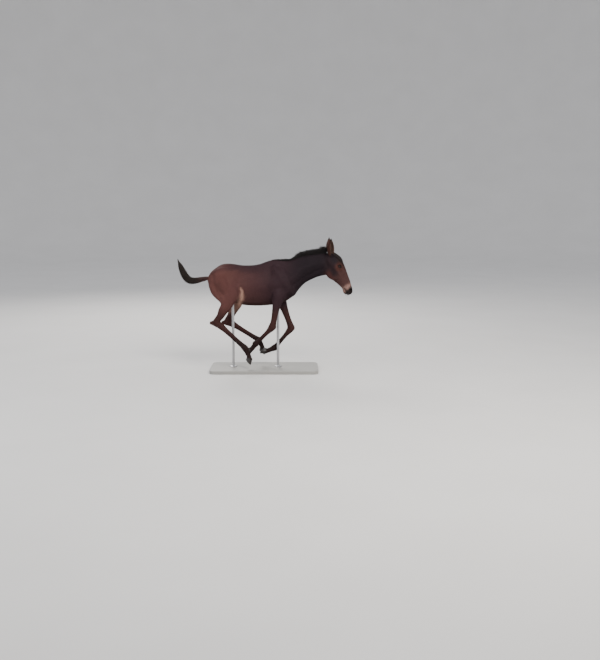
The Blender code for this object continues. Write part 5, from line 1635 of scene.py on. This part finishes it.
# Longer hair behind each fetlock
fetlockHairs = 110
for leg in legs:
    run = unit(np.array(legs[leg]["joints"][2]) - np.array(legs[leg]["joints"][1]))
    for k in range(fetlockHairs):
        share, side = draw.uniform(0.90, 1.07), draw.uniform(-0.014, 0.014)
        root = legPlace(leg, 1, share, -0.024, side)
        back = unit(legPlace(leg, 1, share, -0.05, side) - legPlace(leg, 1, share, 0, side))
        tip = root + run * draw.uniform(0.010, 0.017) * (1 - 30 * abs(side)) + back * 0.001
        place, normal, _, _ = skinTree.find_nearest(root)
        root = np.array(place - normal * 0.001)
        stood = back * 0.0022
        fringePoints.append([root, root * 0.6 + tip * 0.4 + stood, root * 0.25 + tip * 0.75 + stood, tip])
        fringeUps.append(back)
points = np.array(fringePoints)
fringeColour = tinted(coat["lowerLegs"], len(points), 0.7, 1.2)
where, sizes = unwrapped(points[:, 0])[1], (fringe["width"], fringe["thick"])
strands("fetlockHair", points, np.array(fringeUps), *sizes, fringeColour, where, fringeColour * 1.1, 0.5, coatFinish)

# Chestnuts: small horny patches inside the forearms
chestnut = {"halfLength": 0.011, "halfWidth": 0.005, "sides": 20, "down": 0.80}
chestnutRings = ((1.0, -0.0010), (0.9, 0.0020), (0.6, 0.0033), (0.25, 0.0038))  # size, height over the skin
sides = chestnut["sides"]
points, faces = [], []
for leg, inner in (("foreRight", 1), ("foreLeft", -1)):
    place, normal, _, _ = skinTree.find_nearest(Vector(legPlace(leg, 0, chestnut["down"], -0.006, inner * 0.04)))
    down = (Vector(legs[leg]["joints"][1]) - Vector(legs[leg]["joints"][0])).normalized()
    down = (down - normal * down.dot(normal)).normalized() * chestnut["halfLength"]
    across = normal.cross(down.normalized()) * chestnut["halfWidth"]
    first = len(points)
    for size, rise in chestnutRings:
        for k in range(sides):
            angle = 2 * math.pi * k / sides
            rough = 1 + 0.08 * math.sin(3 * angle) + 0.05 * math.sin(7 * angle)
            points.append(place + (down * math.cos(angle) + across * math.sin(angle)) * size * rough + normal * rise)
    faces += ringFaces(first, len(chestnutRings), sides)
    faces += [tuple(range(len(points) - sides, len(points))), tuple(range(first, first + sides))[::-1]]
chestnuts = objectFrom("chestnuts", points, faces, np.tile(coat["horn"], (len(points), 1)))
turnOut(chestnuts)
settle(chestnuts, coatFinish, "coat")

# Feelers: single long hairs on the lips, the nose and the chin
feeler = {"count": 130, "width": 0.0004, "thick": 0.0003, "fromNostril": 0.021}
points = []
for k in range(feeler["count"]):
    side = -1 if k % 2 else 1
    share, aside = draw.uniform(0.86, 0.98), side * draw.uniform(0.006, 0.036)
    spot = onHead(share, aside, draw.uniform(-0.050, -0.030) if k % 3 == 0 else draw.uniform(-0.022, 0.030))
    place, normal, _, _ = skinTree.find_nearest(spot)
    if (place - nostrilAxes(side)[0]).length < feeler["fromNostril"]:
        continue
    length = draw.uniform(0.008, 0.026)
    way = (normal * 0.8 + along * draw.uniform(0.2, 0.7) - Vector((0, 0, 0.2))).normalized() * length
    sag = Vector((0, 0, -0.25 * length))
    points.append([place - normal * 0.001, place + way * 0.4, place + way * 0.75 + sag * 0.5, place + way + sag])
points = np.array(points)
feelerColour = np.tile(coat["nose"], (len(points), 1))
ups, where = np.tile((0, 0, 1.0), (len(points), 1)), unwrapped(points[:, 0])[1]
strands("feelers", points, ups, feeler["width"], feeler["thick"], feelerColour, where)
print("eyes, hooves and longer hairs made")

# Stand: a painted board and two brushed steel rods
standPaint, shader, tone = newMaterial("standPaint", {"Specular IOR Level": 0.4})
places = objectPlaces(tone)
broad = noise(tone, places, 7.0, 5.0, 0.6)
paintColour = mixed(tone, broad, (*rgb(140, 138, 134), 1), (*rgb(154, 152, 147), 1))
fine = bumped(tone, 0.18, 0.0005, noise(tone, places, 420.0, 2.0))
feed(shader, Base_Color=paintColour, Roughness=0.42 + broad * 0.18, Normal=fine)
standSteel, shader, tone = newMaterial("standSteel", {"Metallic": 1.0})
brushed = noise(tone, stretched(tone, objectPlaces(tone), (60, 60, 1600)), 1.0, 3.0)
steelColour = mixed(tone, brushed, (0.40, 0.40, 0.41, 1), (0.60, 0.60, 0.61, 1))
feed(shader, Base_Color=steelColour, Roughness=0.24 + brushed * 0.22, Normal=bumped(tone, 0.12, 0.0003, brushed))
for node, finish in (("stand_base", standPaint), ("stand_rod_front", standSteel), ("stand_rod_rear", standSteel)):
    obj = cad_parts[node]
    obj.data.materials.clear()
    obj.data.materials.append(finish)

# Studio: a pale floor that rises far off all round, and soft lights
studio = {"flat": 14.0, "edge": 21.0, "rise": 9.5, "steps": 12, "sides": 96}
profile = [(studio["flat"], 0.0)]
for k in range(1, studio["steps"] + 1):
    angle = math.pi / 2 * k / studio["steps"]
    radius = studio["flat"] + (studio["edge"] - studio["flat"]) * math.sin(angle)
    profile.append((radius, studio["rise"] * (1 - math.cos(angle))))
around = studio["sides"]
turns = [2 * math.pi * k / around for k in range(around)]
floorPoints = [(0, 0, 0)]
floorPoints += [(radius * math.cos(a), radius * math.sin(a), height) for radius, height in profile for a in turns]
floorFaces = [(0, 1 + k, 1 + (k + 1) % around) for k in range(around)]
floorFaces += [(a, d, c, b) for a, b, c, d in ringFaces(1, len(profile), around)]
floor = objectFrom("floor", floorPoints, floorFaces)
floorFinish, shader, tone = newMaterial("floorFinish", {"Roughness": 0.9, "Specular IOR Level": 0.1})
soft = noise(tone, objectPlaces(tone), 1.4, 3.0)
feed(shader, Base_Color=mixed(tone, soft, (0.60, 0.585, 0.565, 1), (0.66, 0.645, 0.625, 1)))
floor.data.materials.append(floorFinish)

world = bpy.data.worlds.new("studioSky")
world.use_nodes = True
sky = world.node_tree.nodes["Background"]
sky.inputs["Color"].default_value = (0.90, 0.93, 1.0, 1)
sky.inputs["Strength"].default_value = 0.95
bpy.context.scene.world = world
lights = {
    "key": {"place": (2.6, -4.2, 4.6), "size": 2.4, "power": 420, "colour": (1.0, 0.96, 0.90)},
    "fill": {"place": (-4.5, -3.2, 2.6), "size": 3.5, "power": 120, "colour": (0.90, 0.95, 1.0)},
    "rim": {"place": (-1.5, 4.5, 4.2), "size": 2.5, "power": 260, "colour": (1.0, 0.97, 0.93)},
}
foalMiddle = Vector((0, 0, 0.75))
for name, facts in lights.items():
    lamp = bpy.data.lights.new(name, "AREA")
    lamp.size = facts["size"]
    lamp.energy = facts["power"]
    lamp.color = facts["colour"]
    lampObject = bpy.data.objects.new(name, lamp)
    bpy.context.scene.collection.objects.link(lampObject)
    lampObject.location = facts["place"]
    lampObject.rotation_euler = (foalMiddle - Vector(facts["place"])).to_track_quat("-Z", "Y").to_euler()
print("studio made")
